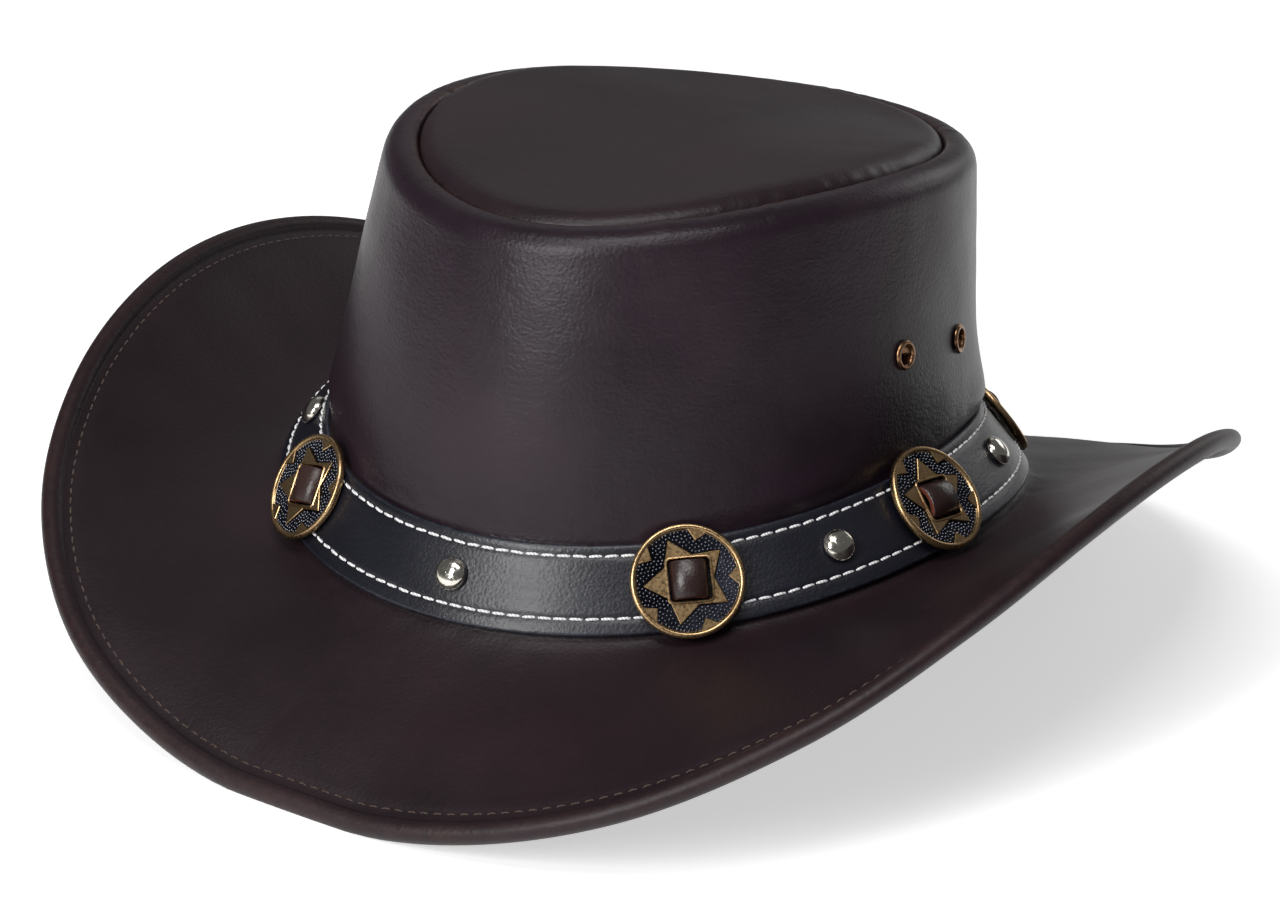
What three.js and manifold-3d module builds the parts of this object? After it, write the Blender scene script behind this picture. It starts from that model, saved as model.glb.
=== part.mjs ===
import * as THREE from "three";
import { mergeVertices } from "three/addons/utils/BufferGeometryUtils.js";
import Module from "manifold-3d";

// Leather wide-brim hat, in millimetres.
// The hat rests on z = 0 by the dips of its brim, front toward -Y, wearer's left toward +X.
// A turn is an angle in degrees round the crown: 0 at the front, 90 at the wearer's left, 180 at the back.

const wasm = await Module();
wasm.setup();
const { Manifold } = wasm;

// Clearances
const gap = 0.3;
const flangeGap = 0.4;
const loopGap = 0.5;

// Leather and round pieces
const leather = 2.2;
const columns = 54;

// The crown and its band sit turned by this angle on the brim
const crownTwist = -2.75;

// Rings round the hat: half sizes of the oval, its set-back, and the height over the turn
const bandTop = {
  halfWidth: 85.6, halfLength: 98.1, setBack: 1.5, frontFlare: 0.7,
  height: 57.9, frontRise: 1.1, frontDip: 6.7, ripple: 1.5, leftRise: 0,
};
const bandSpread = { width: 17.7, length: 13.9, drop: 17.0 };
const bandFoot = {
  halfWidth: bandTop.halfWidth + bandSpread.width,
  halfLength: bandTop.halfLength + bandSpread.length,
  setBack: 2.4, frontFlare: 0.2,
  height: bandTop.height - bandSpread.drop,
  frontRise: 0.1, frontDip: 8.7, ripple: 1.6, leftRise: 0,
};
const crest = {
  halfWidth: 66.4, halfLength: 89.6, setBack: 13.5, frontFlare: 5.4,
  height: 136.1, frontRise: 3.9, frontDip: 4.6, ripple: -1.2, leftRise: -0.8,
};

// Rolled shoulder of the crown and the lip turned down into the top seam
const rollOut = 8.0;
const rollDrop = 6.5;
const lipIn = 2.0;
const lipDepth = 5.5;

// Bow of the wall, more at the front, and its swell over the band at the four corners
const wallBow = 0.9;
const frontBow = 1.3;
const cornerSwell = { out: 3.2, at: 0.09, turn: 60, spread: 14 };

// Domed tip: depth of the seam, the soft shoulder inside it and the dome
const seamDrop = 1.9;
const tipShoulder = { width: 8.5, height: 4.6 };
const domeRise = 1.5;
const tipRows = [0.72, 0.36];

// Band
const bandThickness = 2.2;
const bandBevel = 0.5;
const jointShare = 0.55;

// Brim: half length to the centre of its wired edge, height of the side curl over the dips, and
// how much the leather is flattened where it rests
const brimHalfLength = 164.25;
const curlHeight = 74.9;
const edgeRadius = 3.0;
const restFlat = 1.2;
const dipFlat = 0.9;
const leftLift = 2.0;
const backLeftLift = { rise: 3.0, turn: 158, spread: 14, fade: 12 };
const throat = 26;
const sweep = 52;

// Centre of the brim's edge over a quarter turn, the same in all four quarters: reach as a share of
// brimHalfLength, lift as a share of curlHeight, and the slope in degrees of the leather at the edge
const brimRows = [
  { turn: 0, reach: 1.0, lift: 0.0, arrive: -36 },
  { turn: 15, reach: 1.016, lift: 0.06, arrive: -34 },
  { turn: 30, reach: 1.036, lift: 0.24, arrive: -22 },
  { turn: 45, reach: 1.025, lift: 0.506, arrive: 0 },
  { turn: 60, reach: 0.985, lift: 0.769, arrive: 22 },
  { turn: 75, reach: 0.949, lift: 0.943, arrive: 36 },
  { turn: 90, reach: 0.936, lift: 1.0, arrive: 40 },
];

// Conchos and studs on the band: turn, share of the band's width from its top, extra lift off it,
// and swing in degrees about the line across the band
const conchoSpots = [
  { turn: -34.6, share: 0.48, lift: 1.3, swing: 8 },
  { turn: 39.9, share: 0.48, lift: 0.25, swing: -1.6 },
  { turn: 83.2, share: 0.46, lift: 1.0, swing: -1.4 },
  { turn: 138, share: 0.5, lift: 0.6, swing: 0 },
  { turn: 168, share: 0.5, lift: 0.4, swing: 0 },
  { turn: -138, share: 0.5, lift: 0.6, swing: 0 },
  { turn: -91, share: 0.49, lift: 0.6, swing: 0 },
];
const studSpots = [
  { turn: 3, share: 0.49, lift: 0, swing: 0 },
  { turn: 63.9, share: 0.49, lift: 0, swing: 0 },
  { turn: 107.3, share: 0.46, lift: 0, swing: 0 },
  { turn: 153, share: 0.48, lift: 0, swing: 0 },
  { turn: -163, share: 0.48, lift: 0, swing: 0 },
  { turn: -112, share: 0.48, lift: 0, swing: 0 },
  { turn: -57.3, share: 0.29, lift: 0, swing: 0 },
];
const conchoRadius = 15;
const conchoFace = 1.3;
const conchoRim = 2.1;
const conchoRelief = 0.55;
const conchoSides = 22;
const windowSide = 11;
const windowTurn = 6;
const loopThickness = 1.5;
const loopRise = 3.3;
const studRadius = 4.5;
const studHeight = 3.1;

// Eyelets through the crown wall: turn and share of the wall height above the band
const eyeletSpots = [
  { turn: 81.5, share: 0.455 },
  { turn: 101, share: 0.4 },
  { turn: -87.5, share: 0.455 },
  { turn: -107, share: 0.4 },
];
const eyeletHole = 2.5;
const eyeletBarrel = 2.9;
const eyeletFlange = 4.1;
const eyeletLip = 0.8;

const up = new THREE.Vector3(0, 0, 1);
const radians = THREE.MathUtils.degToRad;

function ringPoint(ring, turn) {
  const t = radians(turn - crownTwist);
  const c = Math.cos(t);
  const z = ring.height + ring.frontRise * c + ring.leftRise * Math.sin(t)
    - ring.frontDip * Math.cos(2 * t) + ring.ripple * Math.cos(3 * t);
  const halfWidth = ring.halfWidth + ring.frontFlare * c;
  return new THREE.Vector3(halfWidth * Math.sin(t), ring.setBack - ring.halfLength * c, z)
    .applyAxisAngle(up, radians(crownTwist));
}

function outward(turn) {
  return new THREE.Vector3(Math.sin(radians(turn)), -Math.cos(radians(turn)), 0);
}

function move(point, direction, distance) {
  return point.clone().addScaledVector(direction, distance);
}

// Turn measured from the front or the back, whichever is nearer
function quarterTurn(turn) {
  return Math.abs(turn) > 90 ? 180 - Math.abs(turn) : Math.abs(turn);
}

// Smooth reading of the brim table between its rows
function brimValue(column, turn) {
  const last = brimRows.length - 1;
  const at = (quarterTurn(turn) / 90) * last;
  const i = Math.min(Math.floor(at), last - 1);
  const f = at - i;
  const row = (k) => brimRows[k < 0 ? -k : k > last ? 2 * last - k : k][column];
  const [a, b, c, d] = [row(i - 1), row(i), row(i + 1), row(i + 2)];
  return b + 0.5 * f * (c - a + f * (2 * a - 5 * b + 4 * c - d + f * (3 * (b - c) + d - a)));
}

// Face of the band at a turn: its top and foot, slope down it, direction round it and outward normal
function bandFrame(turn) {
  const top = ringPoint(bandTop, turn);
  const foot = ringPoint(bandFoot, turn);
  const middle = (at) => ringPoint(bandTop, at).lerp(ringPoint(bandFoot, at), 0.5);
  const round = middle(turn + 1).sub(middle(turn - 1)).normalize();
  const across = (from) => new THREE.Vector3().crossVectors(foot.clone().sub(from), round).normalize();
  const faceTop = move(top, across(top), bandThickness + gap);
  const normal = across(faceTop);
  const slope = foot.clone().sub(faceTop).normalize();
  return { faceTop, foot, slope, normal, round: new THREE.Vector3().crossVectors(normal, slope) };
}

// Back of the band at a share of its width: the skin that crown and brim share
function skinPoint(turn, share) {
  const { faceTop, foot, normal } = bandFrame(turn);
  return move(faceTop.lerp(foot, share), normal, -bandThickness - gap);
}

// How far the crown wall stands out from straight at a share of its height
function bowAt(turn, f) {
  const low = f / cornerSwell.at;
  const corner = Math.exp(-(((quarterTurn(turn) - cornerSwell.turn) / cornerSwell.spread) ** 2));
  const swell = cornerSwell.out * corner * low * Math.exp(1 - low);
  return 4 * f * (1 - f) * (wallBow + frontBow * Math.cos(radians(turn))) + swell;
}

// Closed section of the crown wall at a turn, from its foot up the outside, over and down the inside
function crownSection(turn) {
  const out = outward(turn);
  const top = ringPoint(crest, turn);
  const { normal } = bandFrame(turn);
  const at = (o, u) => move(move(top, out, o), up, u);
  const wallTop = at(rollOut, -rollDrop);
  const wallFoot = skinPoint(turn, 0);
  const outer = [];
  const inner = [];
  const foot = skinPoint(turn, jointShare);
  outer.push(foot);
  inner.push(move(foot, normal, -leather));
  for (const f of [0, 0.08, 0.3, 0.66]) {
    const point = move(wallFoot.clone().lerp(wallTop, f), out, bowAt(turn, f));
    outer.push(point);
    const lean = f === 0 ? normal.clone().add(out).normalize() : out;
    inner.push(move(point, lean, -leather * 1.03));
  }
  outer.push(wallTop);
  for (const a of [30, 62]) {
    outer.push(at(rollOut * Math.cos(radians(a)), rollDrop * (Math.sin(radians(a)) - 1)));
  }
  outer.push(top);
  outer.push(at(-lipIn * 0.75, -lipIn * 0.5));
  outer.push(at(-lipIn, -lipIn * 1.2));
  outer.push(at(-lipIn, -lipDepth));
  inner.push(at(rollOut - leather, -rollDrop));
  inner.push(at((rollOut - lipIn) / 2, -leather));
  inner.push(at(leather - lipIn, -leather * 1.6));
  inner.push(at(leather - lipIn, -lipDepth));
  return outer.concat(inner.reverse());
}

// Extra height of the edge on the wearer's left and behind it
function leftSideLift(turn) {
  const side = leftLift * Math.max(0, Math.sin(radians(turn))) ** 2;
  const { rise, spread, fade } = backLeftLift;
  const behind = rise * Math.exp(-(((turn - backLeftLift.turn) / spread) ** 2));
  return side + behind * Math.min(1, Math.max(0, (180 - turn) / fade));
}

// Edge of the brim at a turn: centre of the wired edge, direction along the leather and its normal
function brimEdge(turn) {
  const slope = radians(brimValue("arrive", turn));
  const along = outward(turn).multiplyScalar(Math.cos(slope)).addScaledVector(up, Math.sin(slope));
  const normal = outward(turn).multiplyScalar(-Math.sin(slope)).addScaledVector(up, Math.cos(slope));
  const centre = outward(turn).multiplyScalar(brimHalfLength * brimValue("reach", turn));
  centre.z = edgeRadius - restFlat - dipFlat
    + Math.max(dipFlat, curlHeight * brimValue("lift", turn) + leftSideLift(turn));
  return { centre, along, normal };
}

// Point and downward normal of the brim leather's top skin, from the band's foot (0) to the edge (1)
function brimSkin(turn, u) {
  const { centre, along, normal } = brimEdge(turn);
  const start = skinPoint(turn, 1);
  const half = leather / 2;
  const end = move(move(centre, along, -Math.sqrt(edgeRadius ** 2 - half ** 2)), normal, half);
  const leave = bandFrame(turn).slope;
  const arrive = along;
  const at = (v) => start.clone().multiplyScalar(2 * v ** 3 - 3 * v ** 2 + 1)
    .addScaledVector(leave, throat * (v ** 3 - 2 * v ** 2 + v))
    .addScaledVector(end, 3 * v ** 2 - 2 * v ** 3)
    .addScaledVector(arrive, sweep * (v ** 3 - v ** 2));
  const tangent = at(Math.min(u + 0.01, 1)).sub(at(Math.max(u - 0.01, 0))).normalize();
  const round = new THREE.Vector3(Math.cos(radians(turn)), Math.sin(radians(turn)), 0);
  return { point: at(u), down: new THREE.Vector3().crossVectors(round, tangent).normalize() };
}

// Closed section of the brim at a turn, from its joint under the band out to the edge and back below
function brimSection(turn) {
  const { centre, along, normal } = brimEdge(turn);
  const frame = bandFrame(turn);
  const joint = move(skinPoint(turn, jointShare), frame.slope, gap);
  const upper = [joint];
  const lower = [move(joint, frame.normal, -leather)];
  for (const u of [0, 0.1, 0.22, 0.36, 0.52, 0.68, 0.84, 1]) {
    const { point, down } = brimSkin(turn, u);
    upper.push(point);
    lower.push(move(point, down, leather));
  }
  const edge = [];
  for (const a of [120, 75, 30, -15, -60, -105]) {
    const c = Math.cos(radians(a)) * edgeRadius;
    const s = Math.sin(radians(a)) * edgeRadius;
    edge.push(move(move(centre, along, c), normal, s));
  }
  const section = upper.concat(edge, lower.reverse());
  for (const point of section) {
    point.z = Math.max(point.z, 0);
  }
  return section;
}

function bandSection(turn) {
  const { faceTop, foot, slope, normal } = bandFrame(turn);
  return [
    move(foot, normal, -bandThickness),
    move(faceTop, normal, -bandThickness),
    move(faceTop, normal, -bandBevel),
    move(faceTop, slope, bandBevel),
    move(foot, slope, -bandBevel),
    move(foot, normal, -bandBevel),
  ];
}

// Closed surface from rings of points and faces, turned so that it faces out
function surface(points, faces) {
  const geometry = new THREE.BufferGeometry();
  const flat = points.flatMap((p) => [p.x, p.y, p.z]);
  geometry.setAttribute("position", new THREE.Float32BufferAttribute(flat, 3));
  let volume = 0;
  for (const [a, b, c] of faces) {
    volume += points[a].dot(new THREE.Vector3().crossVectors(points[b], points[c]));
  }
  geometry.setIndex(faces.flatMap(([a, b, c]) => (volume > 0 ? [a, b, c] : [a, c, b])));
  return geometry;
}

// Strip of faces between two rows of a grid
function strip(faces, a, b, count) {
  for (let j = 0; j < count; j += 1) {
    const k = (j + 1) % count;
    faces.push([a + j, b + j, b + k], [a + j, b + k, a + k]);
  }
}

// Closed sections carried once round the hat
function sweepRound(sectionAt) {
  const points = [];
  const faces = [];
  let count = 0;
  for (let i = 0; i < columns; i += 1) {
    const turn = i <= columns / 2 ? (360 * i) / columns : (360 * i) / columns - 360;
    const section = sectionAt(turn);
    count = section.length;
    points.push(...section);
  }
  for (let i = 0; i < columns; i += 1) {
    strip(faces, i * count, ((i + 1) % columns) * count, count);
  }
  return surface(points, faces);
}

// Domed tip: a lip down in the seam, a soft shoulder and the dome, closed below by a second skin
function tipGeometry() {
  const mid = crest.height - seamDrop + tipShoulder.height;
  const centre = new THREE.Vector3(0, crest.setBack, 0).applyAxisAngle(up, radians(crownTwist));
  const ringAt = (inset, drop) => {
    const ring = [];
    for (let i = 0; i < columns; i += 1) {
      const turn = (360 * i) / columns;
      ring.push(move(move(ringPoint(crest, turn), outward(turn), -lipIn - gap - inset), up, drop));
    }
    return ring;
  };
  const shoulderAt = (a) => ringAt(
    tipShoulder.width * (1 - Math.cos(radians(a))),
    tipShoulder.height * Math.sin(radians(a)) - seamDrop,
  );
  const domeRow = (rim, reach, below) => rim.map((point) => {
    const flat = point.clone().lerp(centre, 1 - reach);
    flat.z = point.z * reach + mid * (1 - reach) + domeRise * (1 - reach ** 2) - below;
    return flat;
  });
  const rim = shoulderAt(90);
  const rings = [
    ringAt(leather, -lipDepth),
    ringAt(0, -lipDepth),
    shoulderAt(0),
    shoulderAt(30),
    shoulderAt(58),
    rim,
    ...tipRows.map((reach) => domeRow(rim, reach, 0)),
  ];
  const under = tipRows.map((reach) => domeRow(rim, reach, leather)).reverse();
  under.push(ringAt(tipShoulder.width, tipShoulder.height - seamDrop - leather));
  under.push(ringAt(leather + 1.2, -leather - 1.2));
  const points = rings.flat();
  const faces = [];
  for (let r = 0; r + 1 < rings.length; r += 1) {
    strip(faces, r * columns, (r + 1) * columns, columns);
  }
  const peak = points.push(move(centre, up, mid + domeRise)) - 1;
  const lastTop = (rings.length - 1) * columns;
  const firstUnder = points.length + 1;
  points.push(move(centre, up, mid + domeRise - leather));
  points.push(...under.flat());
  for (let j = 0; j < columns; j += 1) {
    const k = (j + 1) % columns;
    faces.push([lastTop + j, peak, lastTop + k], [firstUnder + j, firstUnder + k, peak + 1]);
  }
  for (let r = 0; r + 1 < under.length; r += 1) {
    strip(faces, firstUnder + r * columns, firstUnder + (r + 1) * columns, columns);
  }
  strip(faces, firstUnder + (under.length - 1) * columns, 0, columns);
  return surface(points, faces);
}

function toManifold(geometry) {
  const clean = geometry.clone();
  clean.deleteAttribute("normal");
  clean.deleteAttribute("uv");
  const merged = mergeVertices(clean, 1e-5);
  return new Manifold(new wasm.Mesh({
    numProp: 3,
    vertProperties: new Float32Array(merged.attributes.position.array),
    triVerts: new Uint32Array(merged.index.array),
  }));
}

function toGeometry(manifold) {
  const mesh = manifold.getMesh();
  const geometry = new THREE.BufferGeometry();
  geometry.setAttribute("position", new THREE.BufferAttribute(new Float32Array(mesh.vertProperties), 3));
  geometry.setIndex(new THREE.BufferAttribute(new Uint32Array(mesh.triVerts), 1));
  return geometry;
}

// Closed profile turned about z, given as radius and height pairs
function turned(profile, sides) {
  const points = profile.map(([radius, height]) => new THREE.Vector2(radius, height));
  const geometry = new THREE.LatheGeometry(points, sides);
  geometry.rotateX(Math.PI / 2);
  return geometry;
}

function plate(corners, bottom, top) {
  const shape = new THREE.Shape(corners.map(([x, y]) => new THREE.Vector2(x, y)));
  const geometry = new THREE.ExtrudeGeometry(shape, { depth: top - bottom, bevelEnabled: false });
  geometry.translate(0, 0, bottom);
  return geometry;
}

function polar(share, angle) {
  return [conchoRadius * share * Math.cos(radians(angle)), conchoRadius * share * Math.sin(radians(angle))];
}

// Round ornament: raised rim, five-pointed star, five rim triangles and a square window
function conchoGeometry() {
  const r = conchoRadius;
  const disc = turned([
    [0, 0], [r * 0.95, 0], [r, 0.5], [r, conchoRim - 0.6], [r * 0.96, conchoRim],
    [r * 0.915, conchoRim - 0.1], [r * 0.9, conchoFace], [0, conchoFace],
  ], conchoSides);
  const relief = conchoFace + conchoRelief;
  const starCorners = [];
  for (let k = 0; k < 5; k += 1) {
    starCorners.push(polar(0.776, 117 + 72 * k), polar(0.46, 153 + 72 * k));
  }
  let body = toManifold(disc).add(toManifold(plate(starCorners, 0.6, relief)));
  for (let k = 0; k < 5; k += 1) {
    const angle = 80 + 72 * k;
    const spread = THREE.MathUtils.radToDeg(0.2 / 0.93);
    const corners = [polar(0.93, angle - spread), polar(0.93, angle + spread), polar(0.71, angle)];
    body = body.add(toManifold(plate(corners, 0.6, relief)));
  }
  const hole = new THREE.BoxGeometry(windowSide, windowSide, 4 * conchoRim);
  hole.rotateZ(radians(windowTurn));
  hole.translate(0.03 * r, 0.02 * r, 0);
  return toGeometry(body.subtract(toManifold(hole)));
}

// Leather strip that arches across the window of a concho
function loopGeometry() {
  const length = windowSide - 2 * loopGap;
  const width = windowSide - 2 * loopGap;
  const steps = 6;
  const outer = [];
  const inner = [];
  for (let i = 0; i <= steps; i += 1) {
    const a = Math.PI * (i / steps);
    const x = -Math.cos(a);
    const rise = Math.sin(a) ** 0.6;
    outer.push([x * length / 2, loopRise * rise]);
    inner.push([x * (length / 2 - loopThickness), (loopRise - loopThickness) * rise]);
  }
  const geometry = plate(outer.concat(inner.reverse()), -width / 2, width / 2);
  geometry.rotateX(Math.PI / 2);
  geometry.rotateZ(radians(windowTurn));
  geometry.translate(0.03 * conchoRadius, 0.02 * conchoRadius, 0);
  return geometry;
}

function studGeometry() {
  return turned([
    [0, 0], [studRadius, 0], [studRadius, 0.14 * studHeight], [0.88 * studRadius, 0.55 * studHeight],
    [0.52 * studRadius, 0.88 * studHeight], [0, studHeight],
  ], 12);
}

// Eyelet with a flange on each side of the crown wall, z along its bore and the wall's face at 0
function eyeletGeometry() {
  const face = flangeGap;
  const back = -leather * 1.03 - flangeGap;
  return turned([
    [eyeletBarrel, back], [eyeletBarrel, face], [eyeletFlange, face],
    [eyeletFlange - 0.5, face + eyeletLip * 0.9], [eyeletHole + 0.5, face + eyeletLip],
    [eyeletHole, face + eyeletLip * 0.7], [eyeletHole, back - eyeletLip],
    [eyeletFlange - 0.4, back - eyeletLip], [eyeletFlange, back], [eyeletBarrel, back],
  ], 12);
}

function bandMatrix(spot) {
  const { faceTop, foot, slope, round, normal } = bandFrame(spot.turn);
  const matrix = new THREE.Matrix4().makeBasis(round, slope.clone().negate(), normal);
  matrix.setPosition(move(faceTop.lerp(foot, spot.share), normal, gap + spot.lift));
  return matrix.multiply(new THREE.Matrix4().makeRotationY(radians(spot.swing)));
}

function eyeletMatrix(spot) {
  const foot = skinPoint(spot.turn, 0);
  const top = move(move(ringPoint(crest, spot.turn), outward(spot.turn), rollOut), up, -rollDrop);
  const centre = move(foot.clone().lerp(top, spot.share), outward(spot.turn), bowAt(spot.turn, spot.share));
  const wall = (turn) => ringPoint(crest, turn).lerp(ringPoint(bandTop, turn), 1 - spot.share);
  const round = wall(spot.turn + 1).sub(wall(spot.turn - 1)).normalize();
  const rise = top.clone().sub(foot).normalize();
  const normal = new THREE.Vector3().crossVectors(round, rise).normalize();
  const matrix = new THREE.Matrix4().makeBasis(round, new THREE.Vector3().crossVectors(normal, round), normal);
  matrix.setPosition(centre);
  return matrix;
}

const group = new THREE.Group();
group.name = "leather_hat";

function addPiece(name, geometry, color, metalness, roughness, matrix) {
  const placed = geometry.clone();
  if (matrix) {
    placed.applyMatrix4(matrix);
  }
  const mesh = new THREE.Mesh(placed, new THREE.MeshStandardMaterial({ color, metalness, roughness }));
  mesh.name = name;
  group.add(mesh);
}

let crown = toManifold(sweepRound(crownSection));
for (const spot of eyeletSpots) {
  const drill = new THREE.CylinderGeometry(eyeletBarrel + gap, eyeletBarrel + gap, 6 * leather, 12);
  drill.rotateX(Math.PI / 2);
  drill.applyMatrix4(eyeletMatrix(spot));
  crown = crown.subtract(toManifold(drill));
}
addPiece("crown_side", toGeometry(crown), 0x3c343b, 0, 0.45);
addPiece("crown_tip", tipGeometry(), 0x3a3236, 0, 0.45);
addPiece("brim", sweepRound(brimSection), 0x2b2026, 0, 0.5);
addPiece("hat_band", sweepRound(bandSection), 0x20222b, 0, 0.5);

const concho = conchoGeometry();
const loop = loopGeometry();
conchoSpots.forEach((spot, i) => {
  addPiece(`concho_${i + 1}`, concho, 0x9a7444, 1, 0.35, bandMatrix(spot));
  addPiece(`concho_loop_${i + 1}`, loop, 0x3a2420, 0, 0.5, bandMatrix(spot));
});
const stud = studGeometry();
studSpots.forEach((spot, i) => {
  addPiece(`stud_${i + 1}`, stud, 0xc8c4bc, 1, 0.2, bandMatrix(spot));
});
const eyelet = eyeletGeometry();
eyeletSpots.forEach((spot, i) => {
  addPiece(`eyelet_${i + 1}`, eyelet, 0x8a5a3c, 1, 0.3, eyeletMatrix(spot));
});

export default group;
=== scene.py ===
import math

import bpy
import numpy as np
from mathutils import Matrix, Vector, noise


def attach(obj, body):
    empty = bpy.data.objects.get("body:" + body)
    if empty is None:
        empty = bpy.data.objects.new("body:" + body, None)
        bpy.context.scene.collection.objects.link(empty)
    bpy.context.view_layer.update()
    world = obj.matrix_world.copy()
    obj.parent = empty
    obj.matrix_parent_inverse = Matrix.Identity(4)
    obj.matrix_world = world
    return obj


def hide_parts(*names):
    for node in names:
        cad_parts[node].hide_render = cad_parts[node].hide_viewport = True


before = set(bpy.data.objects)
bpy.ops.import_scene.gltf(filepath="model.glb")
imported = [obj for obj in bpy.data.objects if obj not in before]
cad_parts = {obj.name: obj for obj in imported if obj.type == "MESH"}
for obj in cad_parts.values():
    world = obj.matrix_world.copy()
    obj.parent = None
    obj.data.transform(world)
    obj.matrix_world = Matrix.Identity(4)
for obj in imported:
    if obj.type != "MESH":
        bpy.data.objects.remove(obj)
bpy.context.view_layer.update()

# Leather wide-brim hat. Sizes are in millimetres and become metres when a mesh is made.
# The hat rests on z = 0, front toward -Y, wearer's left toward +X. A turn is an angle in
# degrees round the crown: 0 at the front, 90 at the wearer's left, 180 at the back.

MM = 0.001

# Clearances and leather, as in the solids
GAP = 0.3
FLANGE_GAP = 0.4
LOOP_GAP = 0.5
LEATHER = 2.2
CROWN_TWIST = -2.75

# Rings round the hat: half sizes of the oval, its set-back, and the height over the turn
BAND_TOP = dict(half_width=85.6, half_length=98.1, set_back=1.5, flare=0.7,
                height=57.9, front_rise=1.1, front_dip=6.7, ripple=1.5, left_rise=0)
BAND_SPREAD = dict(width=17.7, length=13.9, drop=17.0)
BAND_FOOT = dict(half_width=BAND_TOP["half_width"] + BAND_SPREAD["width"],
                 half_length=BAND_TOP["half_length"] + BAND_SPREAD["length"], set_back=2.4, flare=0.2,
                 height=BAND_TOP["height"] - BAND_SPREAD["drop"], front_rise=0.1, front_dip=8.7,
                 ripple=1.6, left_rise=0)
CREST = dict(half_width=66.4, half_length=89.6, set_back=13.5, flare=5.4,
             height=136.1, front_rise=3.9, front_dip=4.6, ripple=-1.2, left_rise=-0.8)

# Rolled shoulder of the crown and the lip turned down into the top seam
ROLL_OUT, ROLL_DROP = 8.0, 6.5
LIP_IN, LIP_DEPTH = 2.0, 5.5

# Bow of the wall, more at the front, and its swell over the band at the four corners
WALL_BOW, FRONT_BOW = 0.9, 1.3
CORNER_SWELL = dict(out=3.2, at=0.09, turn=60, spread=14)

# Domed tip: depth of the seam, the soft shoulder inside it and the dome
SEAM_DROP = 1.9
SHOULDER_WIDTH, SHOULDER_HEIGHT = 8.5, 4.6
DOME_RISE = 1.5

# Band, its width down the slope, and the share of it at which crown and brim meet behind it
BAND_THICKNESS, BAND_WIDTH, BAND_EDGE_ROUND = 2.2, 23.4, 1.0
BAND_GROOVE = dict(depth=0.28, width=0.75)
JOINT_SHARE = 0.55

# Brim
BRIM_HALF_LENGTH = 164.25
CURL_HEIGHT = 74.9
EDGE_RADIUS = 3.0
REST_FLAT, DIP_FLAT = 1.2, 0.9
LEFT_LIFT = 2.0
BACK_LEFT_LIFT = dict(rise=3.0, turn=158, spread=14, fade=12)
FRONT_LEFT_REACH = dict(more=2.4, turn=50, spread=28)
THROAT, SWEEP = 26, 52
BRIM_ROWS = [  # turn, reach, lift, slope of the leather at the edge
    (0, 1.0, 0.0, -36),
    (15, 1.016, 0.06, -34),
    (30, 1.036, 0.24, -22),
    (45, 1.025, 0.506, 0),
    (60, 0.985, 0.769, 22),
    (75, 0.949, 0.943, 36),
    (90, 0.936, 1.0, 40),
]

# Ornaments on the band: turn, share of its width from the top, extra lift, swing
CONCHO_SPOTS = [
    (-34.6, 0.48, 1.3, 8),
    (39.9, 0.48, 0.25, -1.6),
    (83.2, 0.46, 1.0, -1.4),
    (138, 0.5, 0.6, 0),
    (168, 0.5, 0.4, 0),
    (-138, 0.5, 0.6, 0),
    (-91, 0.49, 0.6, 0),
]
# How far each concho is spun about its own middle, in degrees
CONCHO_SPINS = (20, -8, -105, 30, -50, 75, 10)
STUD_SPOTS = [
    (3, 0.49, 0, 0),
    (63.9, 0.49, 0, 0),
    (107.3, 0.46, 0, 0),
    (153, 0.48, 0, 0),
    (-163, 0.48, 0, 0),
    (-112, 0.48, 0, 0),
    (-57.3, 0.29, 0, 0),
]
CONCHO_RADIUS, CONCHO_FACE, CONCHO_RIM, CONCHO_RELIEF = 15.0, 1.3, 2.1, 0.55
RELIEF_SUNK = 0.2
WINDOW_SIDE, WINDOW_TURN, WINDOW_ROUND = 11.0, 6.0, 1.1
WINDOW_SHIFT = (0.03 * CONCHO_RADIUS, 0.02 * CONCHO_RADIUS)

# Star and teeth of a concho, as shares of its radius, and the angle of the first of each
STAR_TIP, STAR_VALLEY, STAR_ANGLE = 0.776, 0.46, 117
TOOTH_BASE, TOOTH_TIP, TOOTH_HALF_WIDTH, TOOTH_ANGLE = 0.93, 0.71, 0.2, 80
ARMS = 5

# Loop and stud
LOOP_THICKNESS, LOOP_RISE, LOOP_EDGE_ROUND = 1.5, 3.3, 0.28
LOOP_FULLNESS = 1.2
STUD_RADIUS, STUD_HEIGHT = 4.5, 3.1

# Eyelets through the crown wall: turn and share of the wall's height above the band
EYELET_SPOTS = [(81.5, 0.455), (101, 0.4), (-87.5, 0.455), (-107, 0.4)]
EYELET_HOLE, EYELET_BARREL, EYELET_FLANGE, EYELET_LIP = 2.5, 2.9, 4.1, 0.8

# Sewing: white thread on the band, brown thread inside the wired edge of the brim
BAND_STITCH = dict(pitch=4.17, dash=3.5, thread=0.78)
BAND_STITCH_SHARES = (0.125, 0.813)
BRIM_STITCH = dict(pitch=3.7, dash=2.5, thread=0.42)
BRIM_STITCH_INSET = 8.0
EDGE_INSET = BRIM_STITCH_INSET - 1.9 * EDGE_RADIUS

# Seed beads in the recess of a concho, and how far they stay from the star and the rim
BEAD_PITCH, BEAD_SIZE = 0.94, 0.74
BEADS_CLEAR_OF_STAR, BEADS_REACH = 0.75, 0.865

# How finely the pieces are drawn, and the row of the brim that the sewing lies near
COLUMNS = 576
BRIM_COLUMNS = 640
BRIM_STEPS, SEWN_ROW = 52, 46
EDGE_STEPS = 25
PLATE_STEPS = 120
SEWING_STEPS = 1440

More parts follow.
